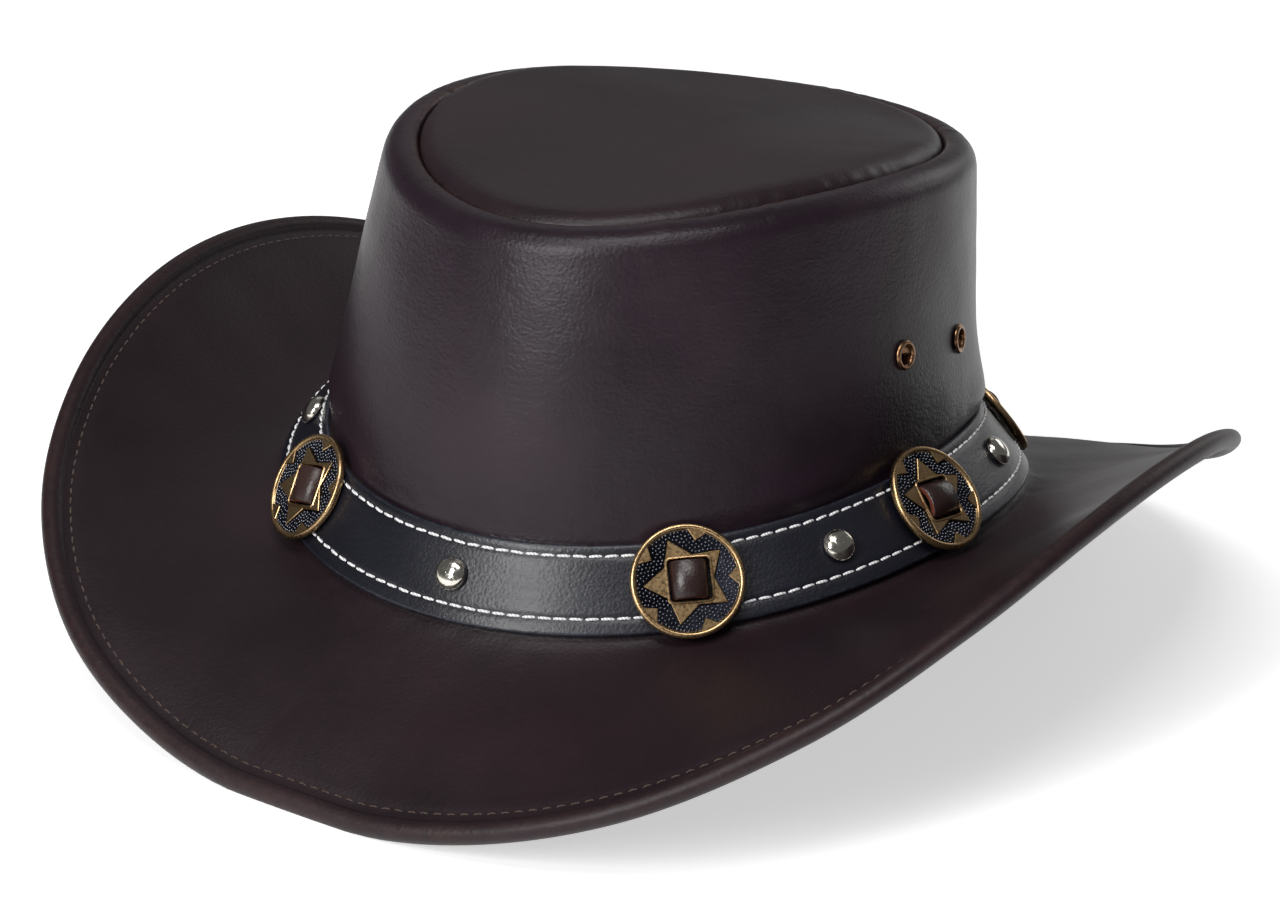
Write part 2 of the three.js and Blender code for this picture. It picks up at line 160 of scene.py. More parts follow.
# Lights: turn and rise seen from the hat, distance, height aimed at, size in metres and power
LIGHTS = {
    "front_box": (-4, 27, 1.5, 0.1, (0.3, 0.8), 15),
    "overhead_box": (15, 67, 1.5, 0.08, (1.0, 0.5), 12),
    "back_right_box": (172, 20, 1.6, 0.08, (0.8, 0.5), 2.2),
    "back_box": (215, 36, 1.7, 0.08, (1.2, 0.8), 1.0),
}
LIGHT_BASE = 0.08
WORLD_STRENGTH, FLOOR_GLOW = 0.12, 0.55

# Camera at the photograph's angle: its place in mm and its three directions
CAMERA_PLACE = (500.17, -811.60, 420.53)
CAMERA_RIGHT = (0.83943, 0.54174, 0.04333)
CAMERA_UP = (-0.23299, 0.28669, 0.92925)
CAMERA_BACK = (0.49099, -0.79014, 0.36688)
LENS, SENSOR = 101.69, 36.0


# Vectors, with a row of points for a row of turns

def unit(v):
    return v / np.linalg.norm(v, axis=-1, keepdims=True)


def twisted(points, angle):
    c, s = math.cos(math.radians(angle)), math.sin(math.radians(angle))
    x, y, z = points[..., 0], points[..., 1], points[..., 2]
    return np.stack([c * x - s * y, s * x + c * y, z], -1)


def ring_point(ring, turn):
    """Point of a ring round the crown, whose egg shape is twisted a little on the brim."""
    t = np.radians(turn - CROWN_TWIST)
    c = np.cos(t)
    x = (ring["half_width"] + ring["flare"] * c) * np.sin(t)
    y = ring["set_back"] - ring["half_length"] * c
    z = (ring["height"] + ring["front_rise"] * c + ring["left_rise"] * np.sin(t)
         - ring["front_dip"] * np.cos(2 * t) + ring["ripple"] * np.cos(3 * t))
    return twisted(np.stack([x, y, z], -1), CROWN_TWIST)


def outward(turn):
    """Level direction away from the hat's axis."""
    t = np.radians(turn)
    return np.stack([np.sin(t), -np.cos(t), np.zeros_like(t)], -1)


UP = np.array([0.0, 0.0, 1.0])


def lerp(a, b, f):
    return a + (b - a) * f


def unevenness(points, size, depth, seed=0.0):
    """Soft irregular height in mm at each point, with features about size mm across."""
    shape = points.shape[:-1]
    flat = points.reshape(-1, 3) / size + seed
    return np.array([noise.noise(Vector(p)) for p in flat]).reshape(shape) * depth


def band_frame(turn):
    """Face of the band at a turn: its two edges, its slope and normal, and the way round it."""
    top, foot = ring_point(BAND_TOP, turn), ring_point(BAND_FOOT, turn)

    def middle(at):
        return lerp(ring_point(BAND_TOP, at), ring_point(BAND_FOOT, at), 0.5)

    round_ = unit(middle(turn + 1) - middle(turn - 1))
    face_top = top + unit(np.cross(foot - top, round_)) * (BAND_THICKNESS + GAP)
    normal = unit(np.cross(foot - face_top, round_))
    slope = unit(foot - face_top)
    return dict(face_top=face_top, foot=foot, slope=slope, normal=normal,
                round=np.cross(normal, slope))


def skin_point(turn, share):
    """Point of the leather behind the band."""
    f = band_frame(turn)
    return lerp(f["face_top"], f["foot"], share) - f["normal"] * (BAND_THICKNESS + GAP)


def signed_turn(turn):
    """The same turn between -180 and 180 degrees."""
    return (np.asarray(turn, float) + 180) % 360 - 180


def quarter_turn(turn):
    """Turn measured from the front or the back, whichever is nearer."""
    turn = np.abs(signed_turn(turn))
    return np.where(turn > 90, 180 - turn, turn)


def bow_at(turn, f):
    """How far the crown wall stands out from straight at a share of its height."""
    low = f / CORNER_SWELL["at"]
    corner = np.exp(-((quarter_turn(turn) - CORNER_SWELL["turn"]) / CORNER_SWELL["spread"]) ** 2)
    swell = CORNER_SWELL["out"] * corner * low * math.exp(1 - low)
    return (4 * f * (1 - f) * (WALL_BOW + FRONT_BOW * np.cos(np.radians(turn))) + swell)[..., None]


def crest_at(turn, out_by, up_by):
    """Point of a section through the rolled shoulder, measured from its crest."""
    return ring_point(CREST, turn) + outward(turn) * out_by + UP * up_by


def eased(rows, first, last, times):
    """Rounds a section between two of its rows."""
    rows = rows.copy()
    for _ in range(times):
        inner = 0.25 * rows[first - 1:last - 1] + 0.5 * rows[first:last] + 0.25 * rows[first + 1:last + 1]
        rows[first:last] = inner
    return rows


def row_normals(rows):
    """Normal of a swept grid at each point, from its neighbours along and round it."""
    along = np.gradient(rows, axis=0)
    round_ = np.roll(rows, -1, axis=1) - np.roll(rows, 1, axis=1)
    return unit(np.cross(round_, along))


# Brim

def brim_value(column, turn):
    """A column of the brim's table at a turn, on a smooth curve through its rows."""
    last = len(BRIM_ROWS) - 1
    at = quarter_turn(turn) / 90 * last
    i = np.minimum(np.floor(at).astype(int), last - 1)
    f = at - i
    values = np.array([row[column] for row in BRIM_ROWS], float)

    def row(k):
        k = np.where(k < 0, -k, k)
        return values[np.where(k > last, 2 * last - k, k)]

    a, b, c, d = row(i - 1), row(i), row(i + 1), row(i + 2)
    return b + 0.5 * f * (c - a + f * (2 * a - 5 * b + 4 * c - d + f * (3 * (b - c) + d - a)))


def left_side_lift(turn):
    """Extra height of the edge on the wearer's left and behind it."""
    turn = signed_turn(turn)
    lift = BACK_LEFT_LIFT
    side = LEFT_LIFT * np.maximum(0, np.sin(np.radians(turn))) ** 2
    behind = lift["rise"] * np.exp(-((turn - lift["turn"]) / lift["spread"]) ** 2)
    return side + behind * np.clip((180 - turn) / lift["fade"], 0, 1)


def front_left_reach(turn):
    """Extra reach of the edge at the front left."""
    more = FRONT_LEFT_REACH
    return more["more"] * np.exp(-((signed_turn(turn) - more["turn"]) / more["spread"]) ** 2)


def brim_edge(turn):
    """Middle of the wired edge, and the directions along and off the leather there."""
    slope = np.radians(brim_value(3, turn))[..., None]
    out = outward(turn)
    along = out * np.cos(slope) + UP * np.sin(slope)
    normal = -out * np.sin(slope) + UP * np.cos(slope)
    reach = BRIM_HALF_LENGTH * brim_value(1, turn) + front_left_reach(turn)
    centre = out * reach[..., None]
    lift = CURL_HEIGHT * brim_value(2, turn) + left_side_lift(turn)
    centre[..., 2] = EDGE_RADIUS - REST_FLAT - DIP_FLAT + np.maximum(DIP_FLAT, lift)
    return centre, along, normal


def brim_skin(turn, u):
    """Point of the brim's top skin from the band's foot (u = 0) to the wired edge (u = 1)."""
    centre, along, normal = brim_edge(turn)
    start = skin_point(turn, 1.0)
    half = LEATHER / 2
    end = centre - along * math.sqrt(EDGE_RADIUS ** 2 - half ** 2) + normal * half
    leave = band_frame(turn)["slope"]
    return (start * (2 * u ** 3 - 3 * u ** 2 + 1) + leave * THROAT * (u ** 3 - 2 * u ** 2 + u)
            + end * (3 * u ** 2 - 2 * u ** 3) + along * SWEEP * (u ** 3 - u ** 2))


def brim_top_rows(turn, count):
    return np.stack([brim_skin(turn, u) for u in np.linspace(0, 1, count)])


# Meshes

def grid_faces(rows, columns, close_rows):
    """Quads of a grid that is closed round its columns, and over its rows if asked."""
    i = np.arange(rows if close_rows else rows - 1)[:, None]
    j = np.arange(columns)[None, :]
    a = i * columns + j
    b = ((i + 1) % rows) * columns + j
    c = ((i + 1) % rows) * columns + (j + 1) % columns
    d = i * columns + (j + 1) % columns
    return np.stack([a, b, c, d], -1).reshape(-1, 4)


def volume_of(points, faces):
    """Six times the volume inside the faces, negative where they look inward."""
    total = 0.0
    for face in faces:
        p = points[list(face)]
        for k in range(1, len(p) - 1):
            total += float(np.dot(p[0], np.cross(p[k], p[k + 1])))
    return total


def quad_volume(points, quads):
    """The same for an array of quads."""
    a, b, c, d = (points[quads[:, k]] for k in range(4))
    return float((a * np.cross(b, c)).sum() + (a * np.cross(c, d)).sum())


def make_piece(name, points, faces, finishes, finish_of=None, flip=False, uv=None, marks=None, smooth=None):
    """Mesh object from points in mm, with its materials, smooth shading and any attributes."""
    mesh = bpy.data.meshes.new(name)
    faces = [tuple(int(v) for v in (reversed(f) if flip else f)) for f in faces]
    mesh.from_pydata([tuple(p) for p in np.asarray(points, float) * MM], [], faces)
    for finish in finishes:
        mesh.materials.append(finish)
    if finish_of is not None:
        mesh.polygons.foreach_set("material_index", np.asarray(finish_of, dtype=np.int32))
    soft = np.ones(len(mesh.polygons), dtype=bool) if smooth is None else np.asarray(smooth, dtype=bool)
    mesh.polygons.foreach_set("use_smooth", soft)
    for mark, values in (marks or {}).items():
        layer = mesh.attributes.new(mark, "FLOAT", "POINT")
        layer.data.foreach_set("value", np.asarray(values, dtype=np.float32).ravel())
    if uv is not None:
        layer = mesh.uv_layers.new(name="lay")
        loops = np.zeros(len(mesh.loops), dtype=np.int32)
        mesh.loops.foreach_get("vertex_index", loops)
        layer.data.foreach_set("uv", np.asarray(uv, dtype=np.float32)[loops].ravel())
    mesh.update()
    obj = bpy.data.objects.new(name, mesh)
    bpy.context.scene.collection.objects.link(obj)
    return obj


def sewn_round(name, rows, finishes, row_finish, marks=None):
    """Closed sections carried once round the hat."""
    count, columns = rows.shape[:2]
    points = rows.reshape(-1, 3)
    quads = grid_faces(count, columns, True)
    finish_of = np.repeat(np.asarray(row_finish, dtype=np.int32), columns)
    flip = quad_volume(points, quads) < 0
    arcs = np.cumsum(np.linalg.norm(np.diff(rows, axis=0, append=rows[:1]), axis=2), axis=0)
    turn = np.broadcast_to(np.arange(columns)[None, :] / columns, (count, columns))
    uv = np.stack([turn * 0.6, arcs * MM], -1).reshape(-1, 2)
    return make_piece(name, points, quads, finishes, finish_of, flip, uv, marks)


def placed_copy(source, name, matrix):
    """Copy of a piece with its place in its mesh."""
    mesh = source.data.copy()
    mesh.name = name
    mesh.transform(matrix)
    obj = bpy.data.objects.new(name, mesh)
    bpy.context.scene.collection.objects.link(obj)
    return obj


def ornament_matrix(spot, spin=0):
    """Place of an ornament on the band's face, swung along it and spun about its own middle."""
    turn, share, lift, swing = spot
    f = band_frame(np.array([float(turn)]))
    place = lerp(f["face_top"], f["foot"], share)[0] + f["normal"][0] * (GAP + lift)
    basis = np.stack([f["round"][0], -f["slope"][0], f["normal"][0]], 1)
    matrix = Matrix.Translation(Vector(place * MM)) @ Matrix(basis.tolist()).to_4x4()
    swung = matrix @ Matrix.Rotation(math.radians(swing), 4, "Y")
    return swung @ Matrix.Rotation(math.radians(spin), 4, "Z")


def eyelet_matrix(spot):
    """Place of an eyelet on the outside of the crown wall."""
    turn, share = spot
    t = np.array([float(turn)])
    foot = skin_point(t, 0.0)
    top = crest_at(t, ROLL_OUT, -ROLL_DROP)
    centre = (lerp(foot, top, share) + outward(t) * bow_at(t, share))[0]

    def wall(at):
        return lerp(ring_point(CREST, at), ring_point(BAND_TOP, at), 1 - share)

    round_ = unit(wall(t + 1) - wall(t - 1))[0]
    rise = unit(top - foot)[0]
    normal = unit(np.cross(round_, rise))
    basis = np.stack([round_, np.cross(normal, round_), normal], 1)
    return Matrix.Translation(Vector(centre * MM)) @ Matrix(basis.tolist()).to_4x4()


def turned_piece(name, profile, sides, finish):
    """Closed profile of radius and height pairs in mm, turned about z."""
    angle = 2 * math.pi * np.arange(sides) / sides
    rows = np.array([[(r * math.cos(a), r * math.sin(a), h) for a in angle] for r, h in profile])
    quads = grid_faces(len(profile), sides, True)
    points = rows.reshape(-1, 3)
    return make_piece(name, points, quads, [finish], flip=quad_volume(points, quads) < 0)


# Materials

def linear(hex_colour):
    """sRGB hex to a linear colour."""
    parts = [int(hex_colour[k:k + 2], 16) / 255 for k in (1, 3, 5)]
    return tuple(c / 12.92 if c <= 0.04045 else ((c + 0.055) / 1.055) ** 2.4 for c in parts) + (1.0,)


def add_node(tree, kind, links=None, inputs=None, **settings):
    """A node with its settings, its input values and the sockets that feed it."""
    node = tree.nodes.new(kind)
    for key, value in settings.items():
        setattr(node, key, value)
    for key, value in (inputs or {}).items():
        node.inputs[key].default_value = value
    for key, source in (links or {}).items():
        tree.links.new(source, node.inputs[key])
    return node


def new_finish(name, **surface):
    """Material with one surface shader, whose plain numbers are set on its own sockets."""
    material = bpy.data.materials.new(name)
    material.use_nodes = True
    tree = material.node_tree
    shader = tree.nodes["Principled BSDF"]
    for key, value in surface.items():
        shader.inputs[key.replace("_", " ")].default_value = value
    return material, tree, shader


def colour_ramp(tree, source, stops):
    ramp = add_node(tree, "ShaderNodeValToRGB", links={"Fac": source})
    while len(ramp.color_ramp.elements) < len(stops):
        ramp.color_ramp.elements.new(0.5)
    for element, (position, colour) in zip(ramp.color_ramp.elements, stops):
        element.position = position
        element.color = linear(colour)
    return ramp.outputs["Color"]


def value_ramp(tree, source, low, high, to_low, to_high):
    node = add_node(tree, "ShaderNodeMapRange", links={"Value": source}, clamp=True)
    for key, value in (("From Min", low), ("From Max", high), ("To Min", to_low), ("To Max", to_high)):
        node.inputs[key].default_value = value
    return node.outputs["Result"]


def mix_colour(tree, share, first, second):
    node = add_node(tree, "ShaderNodeMix", data_type="RGBA")
    if isinstance(share, float):
        node.inputs[0].default_value = share
    else:
        tree.links.new(share, node.inputs[0])
    for socket, value in ((node.inputs[6], first), (node.inputs[7], second)):
        if isinstance(value, str):
            socket.default_value = linear(value)
        else:
            tree.links.new(value, socket)
    return node.outputs[2]


def noise_field(tree, place, size, detail, roughness=0.5, distortion=0.0):
    """Noise with features about size metres across."""
    node = add_node(tree, "ShaderNodeTexNoise", links={"Vector": place}, inputs={
        "Scale": 1 / size, "Detail": detail, "Roughness": roughness, "Distortion": distortion})
    return node.outputs["Fac"]


def bumped(tree, height, strength, depth, under=None):
    """Surface normal with a relief depth mm high, laid over another if one is given."""
    links = {"Height": height}
    if under is not None:
        links["Normal"] = under
    node = add_node(tree, "ShaderNodeBump", links=links,
                    inputs={"Strength": strength, "Distance": depth * MM})
    return node.outputs["Normal"]


def smooth_leather(name, colours, rubbed, rough, grain_depth, pebble=1.1, crease_depth=0.0, shine=0.28):
    """Full-grain cowhide, oiled and waxed: a tight pebbled grain with pores, cloudy colour from the
    oil, and rub marks where it is folded over an edge."""
    material, tree, shader = new_finish(name, Roughness=rough)
    shader.inputs["Specular IOR Level"].default_value = shine
    place = add_node(tree, "ShaderNodeTexCoord").outputs["Object"]
    cloud = noise_field(tree, place, 0.05, 4.0, 0.55)
    base = colour_ramp(tree, cloud, [(0.3, colours[0]), (0.52, colours[1]), (0.75, colours[2])])
    mottle = noise_field(tree, place, 0.0035, 3.0, 0.6)
    base = mix_colour(tree, value_ramp(tree, mottle, 0.45, 0.75, 0.0, 0.22), base, colours[2])
    rub = add_node(tree, "ShaderNodeAttribute", attribute_name="rub").outputs["Fac"]
    scuff = noise_field(tree, place, 0.0025, 5.0, 0.7)
    worn = add_node(tree, "ShaderNodeMath", operation="MULTIPLY",
                    links={0: rub, 1: value_ramp(tree, scuff, 0.4, 0.68, 0.15, 1.0)}).outputs[0]
    tree.links.new(mix_colour(tree, worn, base, rubbed), shader.inputs["Base Color"])
    tree.links.new(value_ramp(tree, cloud, 0.3, 0.7, rough - 0.04, rough + 0.05), shader.inputs["Roughness"])
    pebbles = add_node(tree, "ShaderNodeTexVoronoi", links={"Vector": place}, feature="SMOOTH_F1",
                       inputs={"Scale": 1 / (pebble * MM), "Smoothness": 0.35}).outputs["Distance"]
    pores = noise_field(tree, place, 0.0008, 3.0, 0.65)
    height = add_node(tree, "ShaderNodeMath", operation="MULTIPLY_ADD",
                      links={0: pebbles, 2: pores}, inputs={1: -0.8}).outputs[0]
    normal = bumped(tree, height, 0.5, grain_depth)
    if crease_depth:
        stretched = add_node(tree, "ShaderNodeMapping", links={"Vector": place},
                             inputs={"Scale": (1.0, 1.0, 3.2)}).outputs["Vector"]
        creases = noise_field(tree, stretched, 0.006, 5.0, 0.6, 1.2)
        normal = bumped(tree, creases, 0.5, crease_depth, normal)
    tree.links.new(normal, shader.inputs["Normal"])
    return material


def sewing_thread(name, light, groove_shade):
    """Bonded nylon thread, a three-ply twist: fine diagonal ridges and a dull sheen, with painted shade in
    the grooves between the plies.
    """
    material, tree, shader = new_finish(name, Roughness=0.62, Sheen_Weight=0.3)
    place = add_node(tree, "ShaderNodeTexCoord").outputs["Object"]
    ply = add_node(tree, "ShaderNodeTexWave", links={"Vector": place}, bands_direction="DIAGONAL",
                   inputs={"Scale": 1 / 0.0022, "Distortion": 1.5}).outputs["Fac"]
    # Painted shade: the thread's colour darkens in the grooves between the plies, along the same waves that
    # give the bump.
    tree.links.new(colour_ramp(tree, ply, [(0.1, groove_shade), (0.55, light)]), shader.inputs["Base Color"])
    tree.links.new(bumped(tree, ply, 0.5, 0.1), shader.inputs["Normal"])
    return material


def worn_metal(name, bright, mid, tarnish, rough, tarnish_share):
    """Plated zinc casting with an antique wash: bright where it is rubbed, dull brown where the wash
    stays, in small blotches and fine specks."""
    material, tree, shader = new_finish(name, Metallic=1.0, Roughness=rough)
    place = add_node(tree, "ShaderNodeTexCoord").outputs["Object"]
    blotch = noise_field(tree, place, 0.004, 5.0, 0.6)
    speck = noise_field(tree, place, 0.0009, 3.0)
    share = add_node(tree, "ShaderNodeMath", operation="ADD", links={
        0: value_ramp(tree, blotch, 0.42, 0.7, 0.0, tarnish_share),
        1: value_ramp(tree, speck, 0.55, 0.8, 0.0, tarnish_share)}).outputs[0]
    metal = mix_colour(tree, share, colour_ramp(tree, blotch, [(0.35, mid), (0.65, bright)]), tarnish)
    tree.links.new(metal, shader.inputs["Base Color"])
    tree.links.new(value_ramp(tree, speck, 0.3, 0.7, rough - 0.07, rough + 0.12), shader.inputs["Roughness"])
    tree.links.new(bumped(tree, speck, 0.25, 0.12), shader.inputs["Normal"])
    return material


# Crown and tip: oiled cowhide, near-black brown, slightly greyer where it catches light
crown_leather = smooth_leather("oiled_cowhide_crown", ("#191017", "#21161e", "#2a1d25"), "#5b4339",
                               0.38, 0.14, crease_depth=0.2)
tip_leather = smooth_leather("oiled_cowhide_tip", ("#1c1318", "#24191e", "#2d2024"), "#5b4339", 0.42, 0.14)
# Brim: the same hide, given warmer and darker colours than the crown
brim_leather = smooth_leather("waxed_cowhide_brim", ("#170d12", "#1d1217", "#25161b"), "#4a3028",
                              0.46, 0.13, crease_depth=0.16)
# Inner side of the hide, plain split surface
flesh_side = smooth_leather("split_cowhide_inside", ("#2a1c16", "#33231b", "#3d2b22"), "#4a3228",
                            0.85, 0.3, pebble=0.7)
# Band: vegetable-tanned strap dyed blue-black, with a burnished edge
band_leather = smooth_leather("dyed_strap_leather", ("#0b0c13", "#0f1019", "#161722"), "#3a3d48",
                              0.36, 0.12, pebble=0.9, crease_depth=0.2, shine=0.5)
# Strap passed through a concho
loop_leather = smooth_leather("brown_strap_leather", ("#1e1210", "#281816", "#35221d"), "#7c4a3c",
                              0.33, 0.12, pebble=0.8, shine=0.5)
# Raw cut edge of that strap: open reddish fibres, dull and coarse
cut_edge = smooth_leather("raw_cut_leather_edge", ("#4a241b", "#6b3527", "#874a37"), "#874a37",
                          0.8, 0.35, pebble=0.4)
# Bonded nylon thread, white on the band and brown on the brim; the second colour of each is painted shade
# for the grooves between the plies
white_thread = sewing_thread("white_bonded_thread", "#f2f1f0", "#b9b7bd")
brown_thread = sewing_thread("brown_bonded_thread", "#4a3020", "#2a1a12")
# Antique brass plating, rubbed bright on the raised parts
brass = worn_metal("antique_brass_plate", "#d0b184", "#a98a63", "#6b4c34", 0.28, 0.4)
# Blackened recess behind the relief, and its seed beads, where the blackening is rubbed thin
blackened = worn_metal("blackened_plate", "#25262e", "#16171d", "#0b0b10", 0.5, 0.3)
bead_metal = worn_metal("rubbed_black_bead", "#7d808a", "#545761", "#2a2b33", 0.25, 0.3)
# Nickel-plated steel cap, polished
nickel = worn_metal("nickel_plated_steel", "#dedad0", "#cfcabd", "#9c9484", 0.13, 0.1)
# Antique copper eyelet
copper = worn_metal("antique_copper_plate", "#b08a68", "#7d5a43", "#3a2820", 0.28, 0.4)


# Crown wall

def crown_rows(turn):
    """Outer skin of the crown wall from behind the band to the end of its lip."""
    foot, top = skin_point(turn, 0.0), crest_at(turn, ROLL_OUT, -ROLL_DROP)
    outer = [skin_point(turn, s) for s in (JOINT_SHARE, 0.35, 0.2, 0.1, 0.05)]
    joint_rows = len(outer)
    outer += [lerp(foot, top, f) + outward(turn) * bow_at(turn, f) for f in np.linspace(0, 1, 60)]
    wall_end = len(outer)
    for a in np.radians(np.linspace(8, 90, 14)):
        outer.append(crest_at(turn, ROLL_OUT * math.cos(a), ROLL_DROP * (math.sin(a) - 1)))
    for b in np.radians(np.linspace(15, 90, 6)):
        outer.append(crest_at(turn, -LIP_IN * math.sin(b), -1.2 * LIP_IN * (1 - math.cos(b))))
    for depth in (3.4, 4.4, LIP_DEPTH):
        outer.append(crest_at(turn, -LIP_IN, -depth))
    rows = eased(np.stack(outer), joint_rows - 2, joint_rows + 5, 6)
    rows = eased(rows, wall_end - 4, wall_end + 6, 6)
    return rows, joint_rows, wall_end


def crown_inner_rows(turn):
    """Inner skin of the crown wall, from the end of its lip down to its foot."""
    foot = skin_point(turn, JOINT_SHARE) - band_frame(turn)["normal"] * LEATHER
    wall_foot, top = skin_point(turn, 0.0), crest_at(turn, ROLL_OUT, -ROLL_DROP)
    inner = [foot]
    for f in np.linspace(0, 0.93, 26):
        lean = unit(band_frame(turn)["normal"] + outward(turn)) if f == 0 else outward(turn)
        inner.append(lerp(wall_foot, top, f) + outward(turn) * bow_at(turn, f) - lean * LEATHER * 1.03)
    for o, u in ((ROLL_OUT - LEATHER, -ROLL_DROP), ((ROLL_OUT - LIP_IN) / 2 + 0.9, -LEATHER - 0.9),
                 ((ROLL_OUT - LIP_IN) / 2, -LEATHER), (LEATHER - LIP_IN + 0.7, -LEATHER - 0.3),
                 (LEATHER - LIP_IN, -1.6 * LEATHER), (LEATHER - LIP_IN, -LIP_DEPTH)):
        inner.append(crest_at(turn, o, u))
    return np.stack(inner)[::-1]


def puckers(turn, seed):
    """Short gathers square to the seam: a height round the hat between 0 and 1."""
    angle = np.radians(turn)
    path = np.stack([np.cos(angle), np.sin(angle), np.zeros_like(angle)], -1)
    wide = unevenness(path, 0.16, 1.0, seed)
    fine = unevenness(path, 0.045, 1.0, seed + 7.3)
    where = np.clip(unevenness(path, 0.55, 1.6, seed + 3.1) + 0.55, 0.15, 1.0)
    return (0.6 * wide + 0.7 * fine) * where


def make_crown_wall():
    """Wall, rolled shoulder and lip, with waves, creases at the foot and gathers at the seam."""
    turn = 360.0 * np.arange(COLUMNS) / COLUMNS
    outer, joint_rows, wall_end = crown_rows(turn)
    normals = row_normals(outer)
    if float((normals[20] * outward(turn)).sum()) < 0:
        normals = -normals
    rows = len(outer)
    crest_row = wall_end + 13
    at_wall = np.zeros(rows)
    at_wall[joint_rows:wall_end + 8] = 1.0
    at_wall = np.convolve(at_wall, np.ones(7) / 7, "same")[:, None]
    rough = unevenness(outer, 26, 0.35, 2.0) + unevenness(outer, 9, 0.1, 5.0)
    near_seam = np.exp(-((np.arange(rows) - crest_row) / 7.0) ** 2)[:, None]
    near_foot = np.exp(-((np.arange(rows) - joint_rows - 3) / 5.0) ** 2)[:, None]
    gathers = puckers(turn, 1.7)[None, :]
    foot_folds = unevenness(outer * np.array([1.0, 1.0, 2.4]), 7, 0.16, 9.0)
    lift = rough * at_wall + gathers * near_seam * 0.5 + foot_folds * near_foot
    outer = outer + normals * lift[..., None]
    near_crest = np.exp(-((np.arange(rows) - crest_row - 2) / 2.2) ** 2)[:, None]
    rub = near_crest * (0.45 + 0.5 * gathers)
    inner = crown_inner_rows(turn)
    everything = np.concatenate([outer, inner])
    worn = np.clip(np.broadcast_to(rub, outer.shape[:2]), 0, 1)
    marks = np.concatenate([worn, np.zeros(inner.shape[:2])])
    finish = [0] * (rows - 1) + [1] * (len(inner) + 1)
    return sewn_round("crown_wall", everything, [crown_leather, flesh_side], finish, {"rub": marks})


def pierce(piece, spots, radius):
    """Round holes through a piece, made with cutters that are then removed."""
    cutter_mesh = bpy.data.meshes.new("cutter")
    sides = 32
    points, faces = [], []
    for spot in spots:
        matrix = eyelet_matrix(spot)
        base = len(points)
        for h in (-6.0, 6.0):
            for k in range(sides):
                a = 2 * math.pi * k / sides
                points.append(matrix @ (Vector((radius * math.cos(a), radius * math.sin(a), h)) * MM))
        faces.append([base + k for k in reversed(range(sides))])
        faces.append([base + sides + k for k in range(sides)])
        for k in range(sides):
            after = (k + 1) % sides
            faces.append([base + k, base + after, base + sides + after, base + sides + k])
    cutter_mesh.from_pydata([tuple(p) for p in points], [], faces)
    cutter = bpy.data.objects.new("cutter", cutter_mesh)
    bpy.context.scene.collection.objects.link(cutter)
    cut = piece.modifiers.new("holes", "BOOLEAN")
    cut.operation, cut.object, cut.solver = "DIFFERENCE", cutter, "EXACT"
    settled = settle(piece)
    bpy.data.objects.remove(cutter)
    return settled


def settle(piece):
    """Plain mesh from a piece with live modifiers, which are then removed."""
    graph = bpy.context.evaluated_depsgraph_get()
    mesh = bpy.data.meshes.new_from_object(piece.evaluated_get(graph), depsgraph=graph)
    mesh.name = piece.name
    piece.modifiers.clear()
    piece.data = mesh
    return piece


# Domed tip

